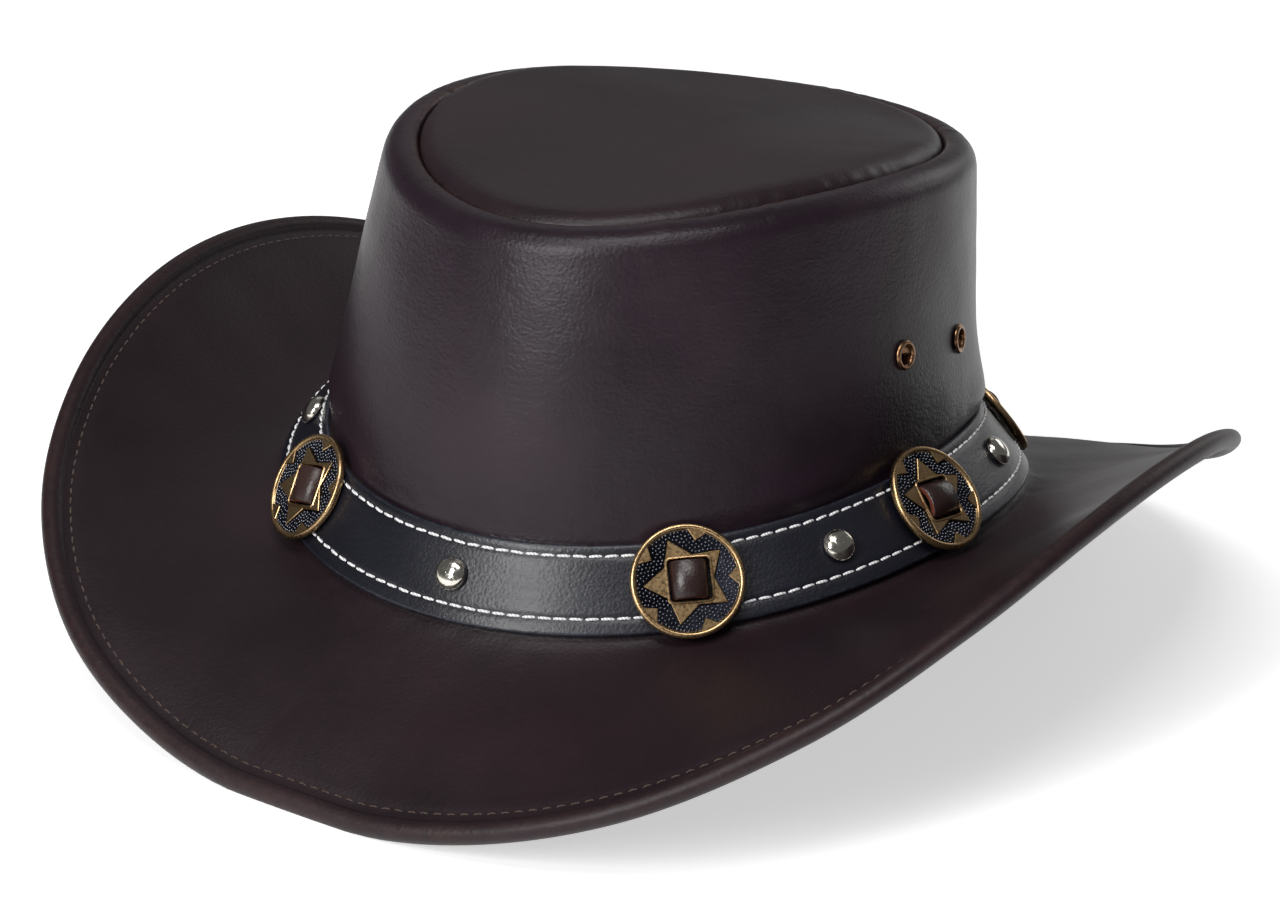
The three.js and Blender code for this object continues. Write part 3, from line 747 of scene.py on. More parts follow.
def make_crown_tip():
    """Domed top with its soft shoulder, closed by a point in the middle of each skin."""
    turn = 360.0 * np.arange(COLUMNS) / COLUMNS
    mid = CREST["height"] - SEAM_DROP + SHOULDER_HEIGHT
    centre = twisted(np.array([0.0, CREST["set_back"], 0.0]), CROWN_TWIST)

    def ring_at(inset, drop):
        return ring_point(CREST, turn) - outward(turn) * (LIP_IN + GAP + inset) + UP * drop

    def shoulder_at(a):
        return ring_at(SHOULDER_WIDTH * (1 - math.cos(a)), SHOULDER_HEIGHT * math.sin(a) - SEAM_DROP)

    def dome(reach, below):
        level = (math.sqrt(reach ** 2 + 0.02) - math.sqrt(0.02)) / (math.sqrt(1.02) - math.sqrt(0.02))
        flat = lerp(centre, rim, reach)
        flat[..., 2] = rim[..., 2] * level + mid * (1 - level) + DOME_RISE * (1 - reach ** 2) - below
        return flat

    rim = shoulder_at(math.pi / 2)
    # Below the seam the tip fills the gap, so that no light comes up through it
    rows = [ring_at(0.03 - GAP, -d) for d in (LIP_DEPTH, 4.5, 3.6, 2.9)] + [ring_at(-0.1, -2.3)]
    rows += [shoulder_at(a) for a in np.radians(np.linspace(0, 86, 26))]
    shoulder_end = len(rows)
    rows += [dome(r, 0.0) for r in np.linspace(1, 0.04, 44)]
    top = eased(np.stack(rows), shoulder_end - 8, shoulder_end + 8, 12)
    count = len(top)
    normals = row_normals(top)
    if float((normals[-5] * UP).sum()) < 0:
        normals = -normals
    step = np.arange(count)
    near_seam = np.exp(-((step - 12) / 7.0) ** 2)[:, None]
    gathers = puckers(turn, 4.4)[None, :]
    soft = unevenness(top, 30, 0.3, 8.0) + unevenness(top, 11, 0.06, 3.0)
    fade = np.clip((step - 4) / 5, 0, 1)[:, None]
    top = top + normals * (soft * fade + gathers * near_seam * 0.6)[..., None]
    under = np.stack([dome(r, LEATHER) for r in (0.04, 0.3, 0.55, 0.75, 0.9)] + [
        ring_at(SHOULDER_WIDTH, SHOULDER_HEIGHT - SEAM_DROP - LEATHER),
        ring_at(LEATHER + 1.2, -LEATHER - 1.2), ring_at(LEATHER, -LIP_DEPTH)])
    rub = np.exp(-((step - 6) / 3.0) ** 2)[:, None] * (0.5 + 0.5 * gathers)
    points = np.concatenate([top, under]).reshape(-1, 3)
    quads = grid_faces(count + len(under), COLUMNS, False).tolist()
    last = (count + len(under) - 1) * COLUMNS
    peak_top, peak_under = len(points), len(points) + 1
    middle = top[count - 1].mean(0)
    points = np.concatenate([points, [middle, middle - UP * LEATHER]])
    faces, finish = [], []
    for k, quad in enumerate(quads):
        row = k // COLUMNS
        if row == count - 1:
            continue
        faces.append(quad)
        finish.append(0 if row < count - 1 else 1)
    for j in range(COLUMNS):
        k = (j + 1) % COLUMNS
        faces.append([(count - 1) * COLUMNS + j, peak_top, (count - 1) * COLUMNS + k])
        finish.append(0)
        faces.append([count * COLUMNS + k, peak_under, count * COLUMNS + j])
        finish.append(1)
        faces.append([last + j, j, k, last + k])
        finish.append(1)
    marks = np.concatenate([np.clip(np.broadcast_to(rub, top.shape[:2]), 0, 1).ravel(),
                            np.zeros(len(under) * COLUMNS + 2)])
    flip = volume_of(points, faces[::7]) < 0
    both_sides = [tip_leather, flesh_side]
    return make_piece("domed_tip", points, faces, both_sides, finish, flip, marks={"rub": marks})


# Brim

def make_brim():
    """Brim with its wired edge, and the skins that its sewing follows."""
    turn = 360.0 * np.arange(BRIM_COLUMNS) / BRIM_COLUMNS
    frame_here = band_frame(turn)
    joint = skin_point(turn, JOINT_SHARE) + frame_here["slope"] * GAP
    top = [joint, skin_point(turn, 0.75), skin_point(turn, 0.9)]
    lead = len(top)
    top = np.concatenate([np.stack(top), brim_top_rows(turn, BRIM_STEPS)])
    top = eased(top, lead - 2, lead + 6, 4)
    normals = row_normals(top)
    if float((normals[20] * UP).sum()) < 0:
        normals = -normals
    count = len(top)
    step = np.arange(count)
    fade = (np.clip((step - lead) / 5, 0, 1) * np.clip((count - 3 - step) / 5, 0, 1))[:, None]
    waves = unevenness(top, 55, 0.9, 12.0) + unevenness(top, 20, 0.3, 4.0)
    near_band = np.exp(-((step - lead - 4) / 5.0) ** 2)[:, None]
    folds = unevenness(top, 6.5, 0.2, 21.0) * near_band
    from_edge = np.linalg.norm(top - top[-1], axis=2)
    groove = -0.35 * np.exp(-((from_edge - EDGE_INSET) / 0.9) ** 2)
    swell = (waves + folds) * fade
    upper = top + normals * (swell + groove)[..., None]
    lower = top - normals * (LEATHER - swell)[..., None]
    lower[0] = joint - frame_here["normal"] * LEATHER
    centre, along, normal = brim_edge(turn)
    edge = []
    for a in np.radians(np.linspace(156, -156, EDGE_STEPS)):
        edge.append(centre + along * EDGE_RADIUS * math.cos(a) + normal * EDGE_RADIUS * math.sin(a))
    edge = np.stack(edge)
    section = np.concatenate([upper, edge, lower[::-1]])
    section = eased(section, count - 1, count + 1, 1)
    section[..., 2] = np.maximum(section[..., 2], 0.0)
    rub_edge = np.zeros(section.shape[:2])
    worn = 0.28 * np.exp(-((np.arange(EDGE_STEPS) - 8) / 5.0) ** 2)
    rub_edge[count:count + EDGE_STEPS] = worn[:, None]
    finish = [0] * len(section)
    piece = sewn_round("brim_leather", section, [brim_leather], finish, {"rub": rub_edge})
    return piece, upper, lower, normals


# Band

def band_surface(turn, share):
    """Point and normal of the band's face, with its slight waviness."""
    f = band_frame(turn)
    point = lerp(f["face_top"], f["foot"], share)
    wave = unevenness(point, 24, 0.3, 31.0) * (4 * share * (1 - share))
    return point + f["normal"] * wave[..., None], f["normal"]


def make_band():
    """Strap with rounded, rubbed edges and a shallow groove under each row of stitches."""
    turn = 360.0 * np.arange(BRIM_COLUMNS) / BRIM_COLUMNS
    f = band_frame(turn)
    round_edge = BAND_EDGE_ROUND
    edge_share = round_edge / BAND_WIDTH
    rows, kind = [], []

    def add(point, tag):
        rows.append(point)
        kind.append(tag)

    for share in (1.0, 0.5, 0.0):
        add(lerp(f["face_top"], f["foot"], share) - f["normal"] * BAND_THICKNESS, 1)
    add(f["face_top"] - f["normal"] * BAND_THICKNESS * 0.6, 0)
    for a in np.radians(np.linspace(0, 75, 6)):
        add(f["face_top"] + f["slope"] * round_edge * (1 - math.cos(a))
            - f["normal"] * 0.8 * round_edge * (1 - math.sin(a)), 0)
    for share in np.linspace(edge_share, 1 - edge_share, 44):
        point, normal = band_surface(turn, share)
        groove = sum(math.exp(-((share - s) * BAND_WIDTH / BAND_GROOVE["width"]) ** 2)
                     for s in BAND_STITCH_SHARES)
        add(point - normal * BAND_GROOVE["depth"] * groove, 0)
    for a in np.radians(np.linspace(75, 0, 6)):
        add(f["foot"] - f["slope"] * round_edge * (1 - math.cos(a))
            - f["normal"] * 0.8 * round_edge * (1 - math.sin(a)), 0)
    add(f["foot"] - f["normal"] * BAND_THICKNESS * 0.6, 0)
    section = np.stack(rows)
    rub = np.zeros(section.shape[:2])
    for k in range(len(rows)):
        if 3 <= k < 9 or k > len(rows) - 8:
            rub[k] = 0.55
    return sewn_round("strap_band", section, [band_leather, flesh_side], kind, {"rub": rub})


# Sewing, laid along a path by one tree

def new_tree(name, given, result):
    """Empty tree with its given sockets and its one result, and how a modifier names them."""
    tree = bpy.data.node_groups.new(name, "GeometryNodeTree")
    identifiers = {}
    for label, kind in given.items():
        socket = tree.interface.new_socket(label, in_out="INPUT", socket_type="NodeSocket" + kind)
        identifiers[label] = socket.identifier
    tree.interface.new_socket(result, in_out="OUTPUT", socket_type="NodeSocketGeometry")
    return tree, add_node(tree, "NodeGroupInput").outputs, identifiers


def end_tree(tree, instances, finish, result):
    """Turns instances into a mesh with one finish, which is the tree's result."""
    real = add_node(tree, "GeometryNodeRealizeInstances", links={"Geometry": instances})
    done = add_node(tree, "GeometryNodeSetMaterial",
                    links={"Geometry": real.outputs["Geometry"], "Material": finish})
    add_node(tree, "NodeGroupOutput", links={result: done.outputs["Geometry"]})


def scaled(tree, source, factor):
    node = add_node(tree, "ShaderNodeMath", operation="MULTIPLY", links={0: source}, inputs={1: factor})
    return node.outputs[0]


def stitch_tree():
    """Thread arches along a path, evenly spaced, each a little out of line."""
    tree, given, identifiers = new_tree("lay_stitches", {
        "Path": "Geometry", "Pitch": "Float", "Dash": "Float", "Thread": "Float",
        "Seed": "Int", "Finish": "Material"}, "Stitches")
    curve = add_node(tree, "GeometryNodeMeshToCurve", links={"Mesh": given["Path"]})
    even = add_node(tree, "GeometryNodeResampleCurve", mode="LENGTH",
                    links={"Curve": curve.outputs["Curve"], "Length": given["Pitch"]})
    along = add_node(tree, "GeometryNodeInputTangent").outputs["Tangent"]
    off = add_node(tree, "GeometryNodeInputNamedAttribute", data_type="FLOAT_VECTOR", inputs={"Name": "off"})
    facing = add_node(tree, "FunctionNodeAxesToRotation", primary_axis="Z", secondary_axis="X",
                      links={"Primary Axis": off.outputs["Attribute"], "Secondary Axis": along})
    sway = add_node(tree, "FunctionNodeRandomValue", data_type="FLOAT_VECTOR", links={"Seed": given["Seed"]})
    sway.inputs["Min"].default_value = (-0.02, -0.02, -0.09)
    sway.inputs["Max"].default_value = (0.02, 0.02, 0.09)
    tilt = add_node(tree, "FunctionNodeEulerToRotation", links={"Euler": sway.outputs["Value"]})
    turned = add_node(tree, "FunctionNodeRotateRotation", rotation_space="LOCAL",
                      links={"Rotation": facing.outputs["Rotation"], "Rotate By": tilt.outputs["Rotation"]})

    half = scaled(tree, given["Dash"], 0.5)
    radius = scaled(tree, given["Thread"], 0.5)
    minus, sunk, raised = scaled(tree, half, -1.0), scaled(tree, radius, -1.3), scaled(tree, radius, 2.3)
    start = add_node(tree, "ShaderNodeCombineXYZ", links={"X": minus, "Z": sunk}).outputs[0]
    crown = add_node(tree, "ShaderNodeCombineXYZ", links={"Z": raised}).outputs[0]
    end = add_node(tree, "ShaderNodeCombineXYZ", links={"X": half, "Z": sunk}).outputs[0]
    arch = add_node(tree, "GeometryNodeCurveQuadraticBezier", inputs={"Resolution": 6},
                    links={"Start": start, "Middle": crown, "End": end})
    ring = add_node(tree, "GeometryNodeCurvePrimitiveCircle", inputs={"Resolution": 6},
                    links={"Radius": radius})
    thread = add_node(tree, "GeometryNodeCurveToMesh", inputs={"Fill Caps": True},
                      links={"Curve": arch.outputs["Curve"], "Profile Curve": ring.outputs["Curve"]})
    soft = add_node(tree, "GeometryNodeSetShadeSmooth", links={"Geometry": thread.outputs["Mesh"]})
    laid = add_node(tree, "GeometryNodeInstanceOnPoints", links={
        "Points": even.outputs["Curve"], "Instance": soft.outputs["Geometry"],
        "Rotation": turned.outputs["Rotation"]})
    end_tree(tree, laid.outputs["Instances"], given["Finish"], "Stitches")
    return tree, identifiers


def run_tree(name, base, tree, identifiers, values):
    """Result of a tree on a base mesh, as a plain mesh object."""
    modifier = base.modifiers.new("tree", "NODES")
    modifier.node_group = tree
    for label, value in values.items():
        modifier[identifiers[label]] = value
    base.name = name
    return settle(base)


def path_mesh(points, off):
    """Closed path in mm with the direction off the surface at each point."""
    mesh = bpy.data.meshes.new("path")
    count = len(points)
    mesh.from_pydata([tuple(p) for p in points * MM], [(k, (k + 1) % count) for k in range(count)], [])
    layer = mesh.attributes.new("off", "FLOAT_VECTOR", "POINT")
    layer.data.foreach_set("vector", np.asarray(off, dtype=np.float32).ravel())
    obj = bpy.data.objects.new("path", mesh)
    bpy.context.scene.collection.objects.link(obj)
    return obj


def inset_path(rows, distance):
    """Path at a distance inside the last row of a skin."""
    from_edge = np.linalg.norm(rows - rows[-1], axis=2)
    path = np.zeros(rows.shape[1:])
    for j in range(rows.shape[1]):
        for i in range(len(rows) - 1, 0, -1):
            if from_edge[i - 1, j] >= distance:
                f = (distance - from_edge[i, j]) / (from_edge[i - 1, j] - from_edge[i, j])
                path[j] = lerp(rows[i, j], rows[i - 1, j], f)
                break
    return path


SEWING, SEWING_SOCKETS = stitch_tree()


def sew(name, points, off, size, finish, seed):
    return run_tree(name, path_mesh(points, off), SEWING, SEWING_SOCKETS, {
        "Pitch": size["pitch"] * MM, "Dash": size["dash"] * MM, "Thread": size["thread"] * MM,
        "Seed": seed, "Finish": finish})


# Concho

def crossings(corners, centre, angle):
    """Distances at which a ray from a centre meets the sides of a polygon."""
    direction = np.array([math.cos(angle), math.sin(angle)])
    found = []
    for k, corner in enumerate(corners):
        a = np.array(corner) - centre
        b = np.array(corners[(k + 1) % len(corners)]) - centre
        span = b - a
        cross = direction[0] * span[1] - direction[1] * span[0]
        if abs(cross) < 1e-9:
            continue
        distance = (a[0] * span[1] - a[1] * span[0]) / cross
        along = (a[0] * direction[1] - a[1] * direction[0]) / cross
        if distance > 0 and -1e-9 <= along <= 1 + 1e-9:
            found.append(distance)
    return found


def polygon_radius(corners, centre, angle):
    """Distance from a centre to a polygon's outline at an angle."""
    return max(crossings(corners, centre, angle), default=0.0)


def polar(share, angle):
    a = math.radians(angle)
    return (CONCHO_RADIUS * share * math.cos(a), CONCHO_RADIUS * share * math.sin(a))


def window_corners(grow=0.0):
    """Outline of the window, its corners rounded."""
    half = WINDOW_SIDE / 2 + grow - WINDOW_ROUND
    turn = math.radians(WINDOW_TURN)
    corners = []
    for k, (x, y) in enumerate(((half, half), (-half, half), (-half, -half), (half, -half))):
        for a in np.radians(90 * k + np.linspace(0, 90, 5)):
            px, py = x + WINDOW_ROUND * math.cos(a), y + WINDOW_ROUND * math.sin(a)
            corners.append((WINDOW_SHIFT[0] + px * math.cos(turn) - py * math.sin(turn),
                            WINDOW_SHIFT[1] + px * math.sin(turn) + py * math.cos(turn)))
    return corners


STAR, TEETH = [], []
ARM_STEP = 360 / ARMS
for arm in range(ARMS):
    tip_angle = STAR_ANGLE + ARM_STEP * arm
    STAR += [polar(STAR_TIP, tip_angle), polar(STAR_VALLEY, tip_angle + ARM_STEP / 2)]
    lean, half = TOOTH_ANGLE + ARM_STEP * arm, math.degrees(TOOTH_HALF_WIDTH / TOOTH_BASE)
    TEETH.append([polar(TOOTH_BASE, lean - half), polar(TOOTH_BASE, lean + half), polar(TOOTH_TIP, lean)])


def ring_angles(polygons, centre, steps):
    """Even angles about a centre, with one at and two beside each corner of the polygons."""
    angles = [2 * math.pi * k / steps for k in range(steps)]
    for polygon in polygons:
        for x, y in polygon:
            corner = math.atan2(y - centre[1], x - centre[0]) % (2 * math.pi)
            angles += [corner - 0.004, corner, corner + 0.004]
    angles = sorted(a % (2 * math.pi) for a in angles)
    kept = [angles[0]]
    for a in angles[1:]:
        if a - kept[-1] > 0.0015:
            kept.append(a)
    return kept


def ringed_plate(outline, inner, centre, bottom, top, bevel):
    """Plate between a window and an outline about one centre, its edges bevelled."""
    centre = np.array(centre)
    angles = ring_angles([outline, inner], centre, PLATE_STEPS)
    rows = []
    for out_by, in_by, h in ((None, 0.0, bottom), (None, 0.0, top), (None, 0.25, top + 0.22),
                             (None, 0.6, top + 0.18), (None, 0.85, top), (bevel, None, top),
                             (0.0, None, top - bevel), (0.0, None, bottom)):
        row = []
        for a in angles:
            direction = np.array([math.cos(a), math.sin(a)])
            if out_by is None:
                radius = polygon_radius(inner, centre, a) + in_by
            else:
                radius = polygon_radius(outline, centre, a) - out_by * 1.6
            row.append((*(centre + direction * radius), h))
        rows.append(row)
    return np.array(rows)


def facing_out(points, quads):
    """The same quads, turned over if they look inward."""
    return quads[:, ::-1] if quad_volume(points, quads) < 0 else quads


def concho_disc(centre):
    """Disc with its window and its raised, rounded rim: points, quads, finishes, smooth or not."""
    r = CONCHO_RADIUS
    square = window_corners()
    angles = ring_angles([square], centre, PLATE_STEPS)
    profile = [(0.885 * r, CONCHO_FACE), (0.893 * r, CONCHO_FACE + 0.1), (0.9 * r, CONCHO_FACE + 0.45),
               (0.912 * r, CONCHO_RIM - 0.16), (0.93 * r, CONCHO_RIM - 0.02), (0.95 * r, CONCHO_RIM),
               (0.972 * r, CONCHO_RIM - 0.08), (0.99 * r, CONCHO_RIM - 0.32), (r, CONCHO_RIM - 0.7),
               (r, 0.55), (0.985 * r, 0.2), (0.95 * r, 0.0)]
    rows = []
    for grow, h in ((0.0, 0.0), (0.0, CONCHO_FACE - 0.15), (0.15, CONCHO_FACE)):
        row = []
        for a in angles:
            reach = polygon_radius(square, centre, a) + grow
            row.append((centre[0] + reach * math.cos(a), centre[1] + reach * math.sin(a), h))
        rows.append(row)
    for radius, h in profile:
        rows.append([(radius * math.cos(a), radius * math.sin(a), h) for a in angles])
    points = np.array(rows).reshape(-1, 3)
    quads = facing_out(points, grid_faces(len(rows), len(angles), True))
    finish = np.repeat([1] * 3 + [0] * len(profile), len(angles)).tolist()
    return points, quads.tolist(), finish, True


def concho_star(centre):
    """Flat star with bevelled arms and a raised frame round the window."""
    rows = ringed_plate(STAR, window_corners(0.02), centre, CONCHO_FACE - RELIEF_SUNK,
                        CONCHO_FACE + CONCHO_RELIEF, 0.14)
    points = rows.reshape(-1, 3)
    quads = facing_out(points, grid_faces(len(rows), rows.shape[1], True))
    return points, quads.tolist(), [0] * len(quads), False


def concho_tooth(tooth):
    """Triangle that stands in from the rim, its top drawn in for a bevel."""
    corners = np.array(tooth)
    middle = corners.mean(0)
    top = CONCHO_FACE + CONCHO_RELIEF
    rows = []
    for shrink, h in ((0.0, CONCHO_FACE - RELIEF_SUNK), (0.0, top - 0.12), (0.12, top)):
        rows.append([(*(lerp(c, middle, shrink)), h) for c in corners])
    points = np.array(rows).reshape(-1, 3)
    faces = [[0, 2, 1], [6, 7, 8]]
    for row in (0, 3):
        for j in range(3):
            after = (j + 1) % 3
            faces.append([row + j, row + after, row + 3 + after, row + 3 + j])
    if volume_of(points, faces) < 0:
        faces = [face[::-1] for face in faces]
    return points, faces, [0] * len(faces), False


def make_concho():
    """One concho about its own centre, without its beads."""
    centre = np.array(WINDOW_SHIFT)
    points, faces, finish, smooth = [], [], [], []
    for part in [concho_disc(centre), concho_star(centre)] + [concho_tooth(tooth) for tooth in TEETH]:
        faces += [[len(points) + v for v in face] for face in part[1]]
        points += part[0].tolist()
        finish += part[2]
        smooth += [part[3]] * len(part[1])
    return make_piece("concho_body", points, faces, [brass, blackened], finish, smooth=smooth)


def bead_floor():
    """Ground of the beads: the recess between the star and the rim, clear of the teeth."""
    points, faces = [], []
    steps = 2 * PLATE_STEPS
    middle = np.zeros(2)
    rings = []
    for k in range(steps):
        a = 2 * math.pi * k / steps
        inner = polygon_radius(STAR, middle, a) + BEADS_CLEAR_OF_STAR
        outer = BEADS_REACH * CONCHO_RADIUS
        for tooth in TEETH:
            grown = [lerp(np.mean(tooth, axis=0), np.array(corner), 1.28) for corner in tooth]
            outer = min([outer] + crossings(grown, middle, a))
        rings.append((a, inner, outer))
    for k in range(steps):
        a, inner, outer = rings[k]
        b, inner_b, outer_b = rings[(k + 1) % steps]
        if outer - inner < 0.1 or outer_b - inner_b < 0.1:
            continue
        base = len(points)
        for angle, radius in ((a, inner), (a, outer), (b, outer_b), (b, inner_b)):
            points.append((radius * math.cos(angle), radius * math.sin(angle), CONCHO_FACE))
        faces.append([base, base + 1, base + 2, base + 3])
    return points, faces


def bead_tree():
    """Small balls strewn over a ground, none nearer to the next than a pitch."""
    tree, given, identifiers = new_tree("strew_beads", {
        "Ground": "Geometry", "Pitch": "Float", "Radius": "Float", "Seed": "Int",
        "Finish": "Material"}, "Beads")
    points = add_node(tree, "GeometryNodeDistributePointsOnFaces", distribute_method="POISSON",
                      links={"Mesh": given["Ground"], "Distance Min": given["Pitch"], "Seed": given["Seed"]},
                      inputs={"Density Max": 6.0e7})
    ball = add_node(tree, "GeometryNodeMeshUVSphere", inputs={"Segments": 8, "Rings": 5},
                    links={"Radius": given["Radius"]})
    soft = add_node(tree, "GeometryNodeSetShadeSmooth", links={"Geometry": ball.outputs["Mesh"]})
    size = add_node(tree, "FunctionNodeRandomValue", data_type="FLOAT", links={"Seed": given["Seed"]})
    size.inputs[2].default_value, size.inputs[3].default_value = 0.88, 1.08
    laid = add_node(tree, "GeometryNodeInstanceOnPoints", links={
        "Points": points.outputs["Points"], "Instance": soft.outputs["Geometry"], "Scale": size.outputs[1]})
    end_tree(tree, laid.outputs["Instances"], given["Finish"], "Beads")
    return tree, identifiers


def make_beads():
    points, faces = bead_floor()
    ground = make_piece("ground", points, faces, [])
    tree, identifiers = bead_tree()
    return run_tree("beads", ground, tree, identifiers, {
        "Pitch": BEAD_PITCH * MM, "Radius": BEAD_SIZE / 2 * MM, "Seed": 11, "Finish": bead_metal})


def joined(name, pieces):
    """Several objects as one, with their materials kept."""
    bpy.ops.object.select_all(action="DESELECT")
    for piece in pieces:
        piece.select_set(True)
    bpy.context.view_layer.objects.active = pieces[0]
    bpy.ops.object.join()
    pieces[0].name = name
    pieces[0].data.name = name
    return pieces[0]


# Leather loop through a concho's window

def make_loop():
    """Arched strap with rounded long edges and raw ends, as wide as the window lets through."""
    side = WINDOW_SIDE - 2 * LOOP_GAP
    rise_to = LOOP_FULLNESS * LOOP_RISE
    half = side / 2
    steps = 26
    rows = []
    for i in range(steps + 1):
        a = math.pi * i / steps
        x, rise = -math.cos(a), math.sin(a) ** 0.8
        outer = np.array([x * half, rise_to * rise])
        inner = np.array([x * (half - LOOP_THICKNESS), (rise_to - LOOP_THICKNESS) * rise])
        middle = lerp(outer, inner, 0.5)
        edge = outer + unit(inner - outer) * LOOP_EDGE_ROUND
        flat = half - LOOP_EDGE_ROUND
        rows.append([
            (inner[0], -half, inner[1]), (inner[0], half, inner[1]), (middle[0], half, middle[1]),
            (edge[0], half, edge[1]), (outer[0], flat, outer[1]), (outer[0], 0.0, outer[1]),
            (outer[0], -flat, outer[1]), (edge[0], -half, edge[1]), (middle[0], -half, middle[1])])
    rows = np.array(rows)
    count = rows.shape[1]
    faces = []
    finish = []
    for i in range(steps):
        for j in range(count):
            k = (j + 1) % count
            faces.append([i * count + j, (i + 1) * count + j, (i + 1) * count + k, i * count + k])
            finish.append(1 if j in (0, 1, 2, 7, 8) else 0)
    faces.append(list(range(count)))
    faces.append([steps * count + j for j in reversed(range(count))])
    finish += [1, 1]
    turn = math.radians(WINDOW_TURN)
    flat = rows.reshape(-1, 3)
    points = np.stack([
        flat[:, 0] * math.cos(turn) - flat[:, 1] * math.sin(turn) + WINDOW_SHIFT[0],
        flat[:, 0] * math.sin(turn) + flat[:, 1] * math.cos(turn) + WINDOW_SHIFT[1], flat[:, 2]], -1)
    flip = volume_of(points, faces) < 0
    unrubbed = np.zeros(len(points))
    sides = [loop_leather, cut_edge]
    return make_piece("loop", points, faces, sides, finish, flip, marks={"rub": unrubbed})


# Stud and eyelet, turned about their own axes

def make_stud():
    """Domed cap with a small straight foot."""
    profile = [(0.02, 0.0), (4.3, 0.0), (STUD_RADIUS, 0.15), (STUD_RADIUS, 0.5)]
    for a in np.radians(np.linspace(12, 88, 12)):
        profile.append((4.46 * math.cos(a) ** 0.92, 0.45 + 2.65 * math.sin(a)))
    profile.append((0.02, STUD_HEIGHT))
    return turned_piece("stud_pattern", profile, 40, nickel)


def make_eyelet():
    """Barrel through the wall, with a rolled flange outside and a flatter one inside."""
    face, back = FLANGE_GAP, -LEATHER * 1.03 - FLANGE_GAP
    profile = [(EYELET_BARREL, back), (EYELET_BARREL, face), (EYELET_FLANGE, face)]
    for a in np.radians(np.linspace(10, 170, 12)):
        profile.append((3.3 + 0.8 * math.cos(a), face + EYELET_LIP * math.sin(a)))
    profile += [(EYELET_HOLE, face + 0.05), (EYELET_HOLE, back - EYELET_LIP * 0.4),
                (EYELET_HOLE + 0.4, back - EYELET_LIP), (EYELET_FLANGE - 0.5, back - EYELET_LIP),
                (EYELET_FLANGE, back - 0.3), (EYELET_FLANGE - 0.2, back)]
    return turned_piece("eyelet_pattern", profile, 44, copper)


# Build the pieces
crown_wall = pierce(make_crown_wall(), EYELET_SPOTS, EYELET_BARREL + GAP)
domed_tip = make_crown_tip()
brim_piece, brim_upper, brim_lower, brim_normals = make_brim()
strap_band = make_band()

band_turn = 360.0 * np.arange(SEWING_STEPS) / SEWING_STEPS
threads = []
for index, share in enumerate(BAND_STITCH_SHARES):
    where, off = band_surface(band_turn, share)
    threads.append(sew("band_stitches_%d" % (index + 1), where - off * 0.2, off, BAND_STITCH,
                       white_thread, 5 + index))

top_path, low_path = inset_path(brim_upper, EDGE_INSET), inset_path(brim_lower, EDGE_INSET)
off_brim = brim_normals[SEWN_ROW]
brim_stitches = [
    sew("brim_stitches_top", top_path, off_brim, BRIM_STITCH, brown_thread, 21),
    sew("brim_stitches_under", low_path, -off_brim, BRIM_STITCH, brown_thread, 22),
]

concho = joined("concho_pattern", [make_concho(), make_beads()])
loop = make_loop()
stud = make_stud()
eyelet = make_eyelet()

# Put each piece on the body and let it stand for its solid
for piece, node, slot in (
        (crown_wall, "crown_side", "brown_leather"), (domed_tip, "crown_tip", "brown_leather"),
        (brim_piece, "brim", "brown_leather"), (strap_band, "hat_band", "black_band_leather")):
    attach(piece, "root")
    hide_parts(node)
for piece in threads + brim_stitches:
    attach(piece, "root")
for pattern, spots, matrix_of, label, node, slot in (
        (concho, CONCHO_SPOTS, ornament_matrix, "star_concho", "concho", "antique_brass"),
        (loop, CONCHO_SPOTS, ornament_matrix, "strap_loop", "concho_loop", "loop_leather"),
        (stud, STUD_SPOTS, ornament_matrix, "dome_stud", "stud", "nickel"),
        (eyelet, EYELET_SPOTS, eyelet_matrix, "air_eyelet", "eyelet", "antique_copper")):
    for index, spot in enumerate(spots):
        place = matrix_of(spot, CONCHO_SPINS[index]) if spots is CONCHO_SPOTS else matrix_of(spot)
        piece = placed_copy(pattern, "%s_%d" % (label, index + 1), place)
        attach(piece, "root")
        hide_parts("%s_%d" % (node, index + 1))
    bpy.data.objects.remove(pattern)

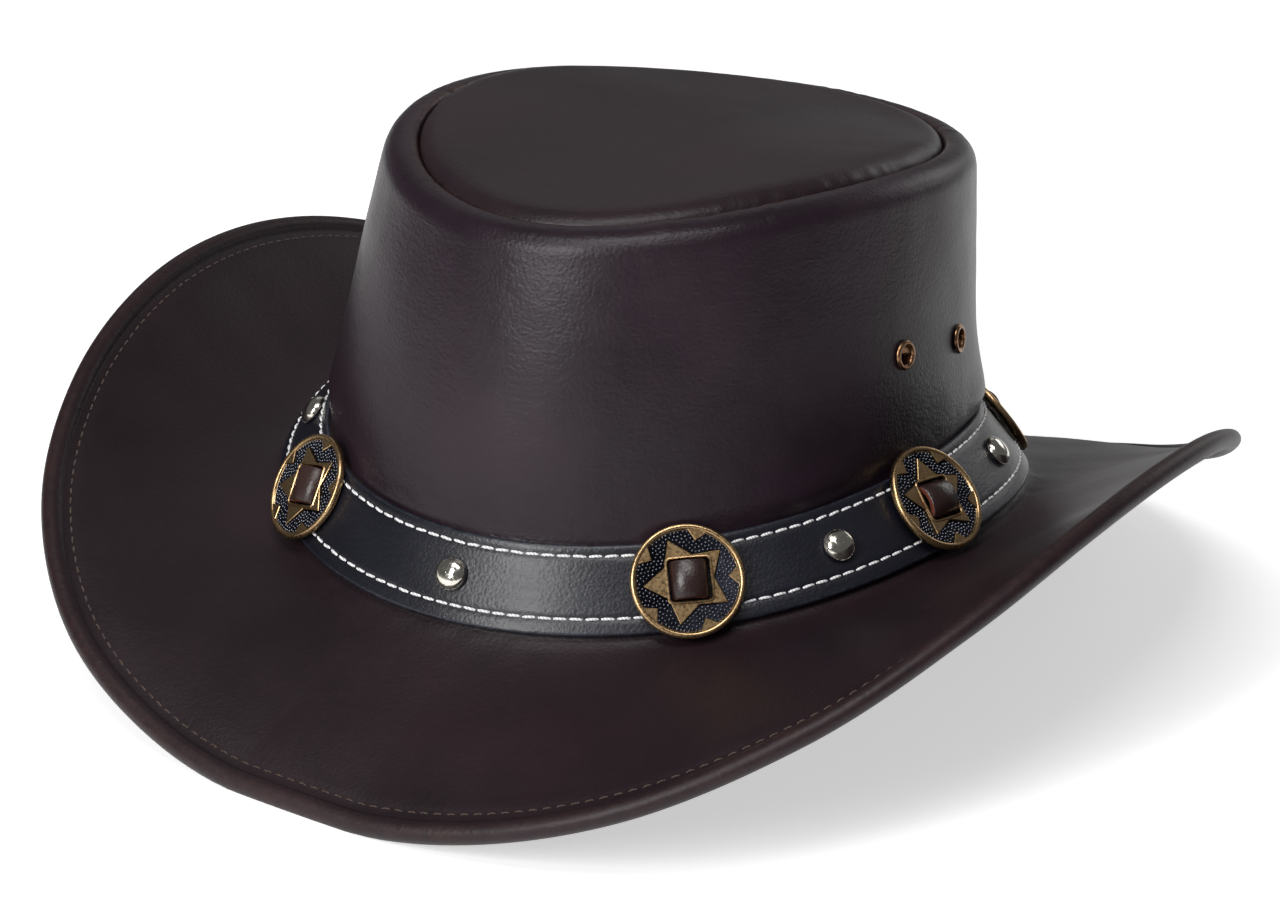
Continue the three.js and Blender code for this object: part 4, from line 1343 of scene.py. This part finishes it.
# Pale floor, lit from within like a light table
floor_mesh = bpy.data.meshes.new("floor")
floor_mesh.from_pydata([(-6, -6, 0), (6, -6, 0), (6, 6, 0), (-6, 6, 0)], [], [(0, 1, 2, 3)])
floor_finish, _, floor_shader = new_finish("pale_studio_paper", Roughness=0.9)
floor_shader.inputs["Base Color"].default_value = linear("#f4f4f4")
floor_shader.inputs["Specular IOR Level"].default_value = 0.1
floor_shader.inputs["Emission Color"].default_value = (1, 1, 1, 1)
floor_shader.inputs["Emission Strength"].default_value = FLOOR_GLOW
floor_mesh.materials.append(floor_finish)
floor = bpy.data.objects.new("floor", floor_mesh)
floor.location.z = -0.0002
bpy.context.scene.collection.objects.link(floor)


def soft_light(name, turn, rise, far, aim_height, size, power):
    """Rectangular light box that looks at the hat's axis."""
    a, e = math.radians(turn), math.radians(rise)
    level = far * math.cos(e)
    place = Vector((level * math.sin(a), -level * math.cos(a), LIGHT_BASE + far * math.sin(e)))
    data = bpy.data.lights.new(name, "AREA")
    data.shape = "RECTANGLE"
    data.size, data.size_y = size
    data.energy = power
    light = bpy.data.objects.new(name, data)
    light.location = place
    light.rotation_euler = (Vector((0, 0, aim_height)) - place).to_track_quat("-Z", "Y").to_euler()
    bpy.context.scene.collection.objects.link(light)


for box, settings in LIGHTS.items():
    soft_light(box, *settings)

world = bpy.data.worlds.new("studio")
bpy.context.scene.world = world
world.use_nodes = True
world.node_tree.nodes["Background"].inputs["Color"].default_value = (1, 1, 1, 1)
world.node_tree.nodes["Background"].inputs["Strength"].default_value = WORLD_STRENGTH
bpy.context.scene.view_settings.view_transform = "Standard"

# Camera
camera_data = bpy.data.cameras.new("camera")
camera_data.lens, camera_data.sensor_width = LENS, SENSOR
camera_data.clip_start, camera_data.clip_end = 0.05, 20
camera = bpy.data.objects.new("camera", camera_data)
turned_by = Matrix((CAMERA_RIGHT, CAMERA_UP, CAMERA_BACK)).transposed().to_4x4()
camera.matrix_world = Matrix.Translation(Vector(CAMERA_PLACE) * MM) @ turned_by
bpy.context.scene.collection.objects.link(camera)
bpy.context.scene.camera = camera
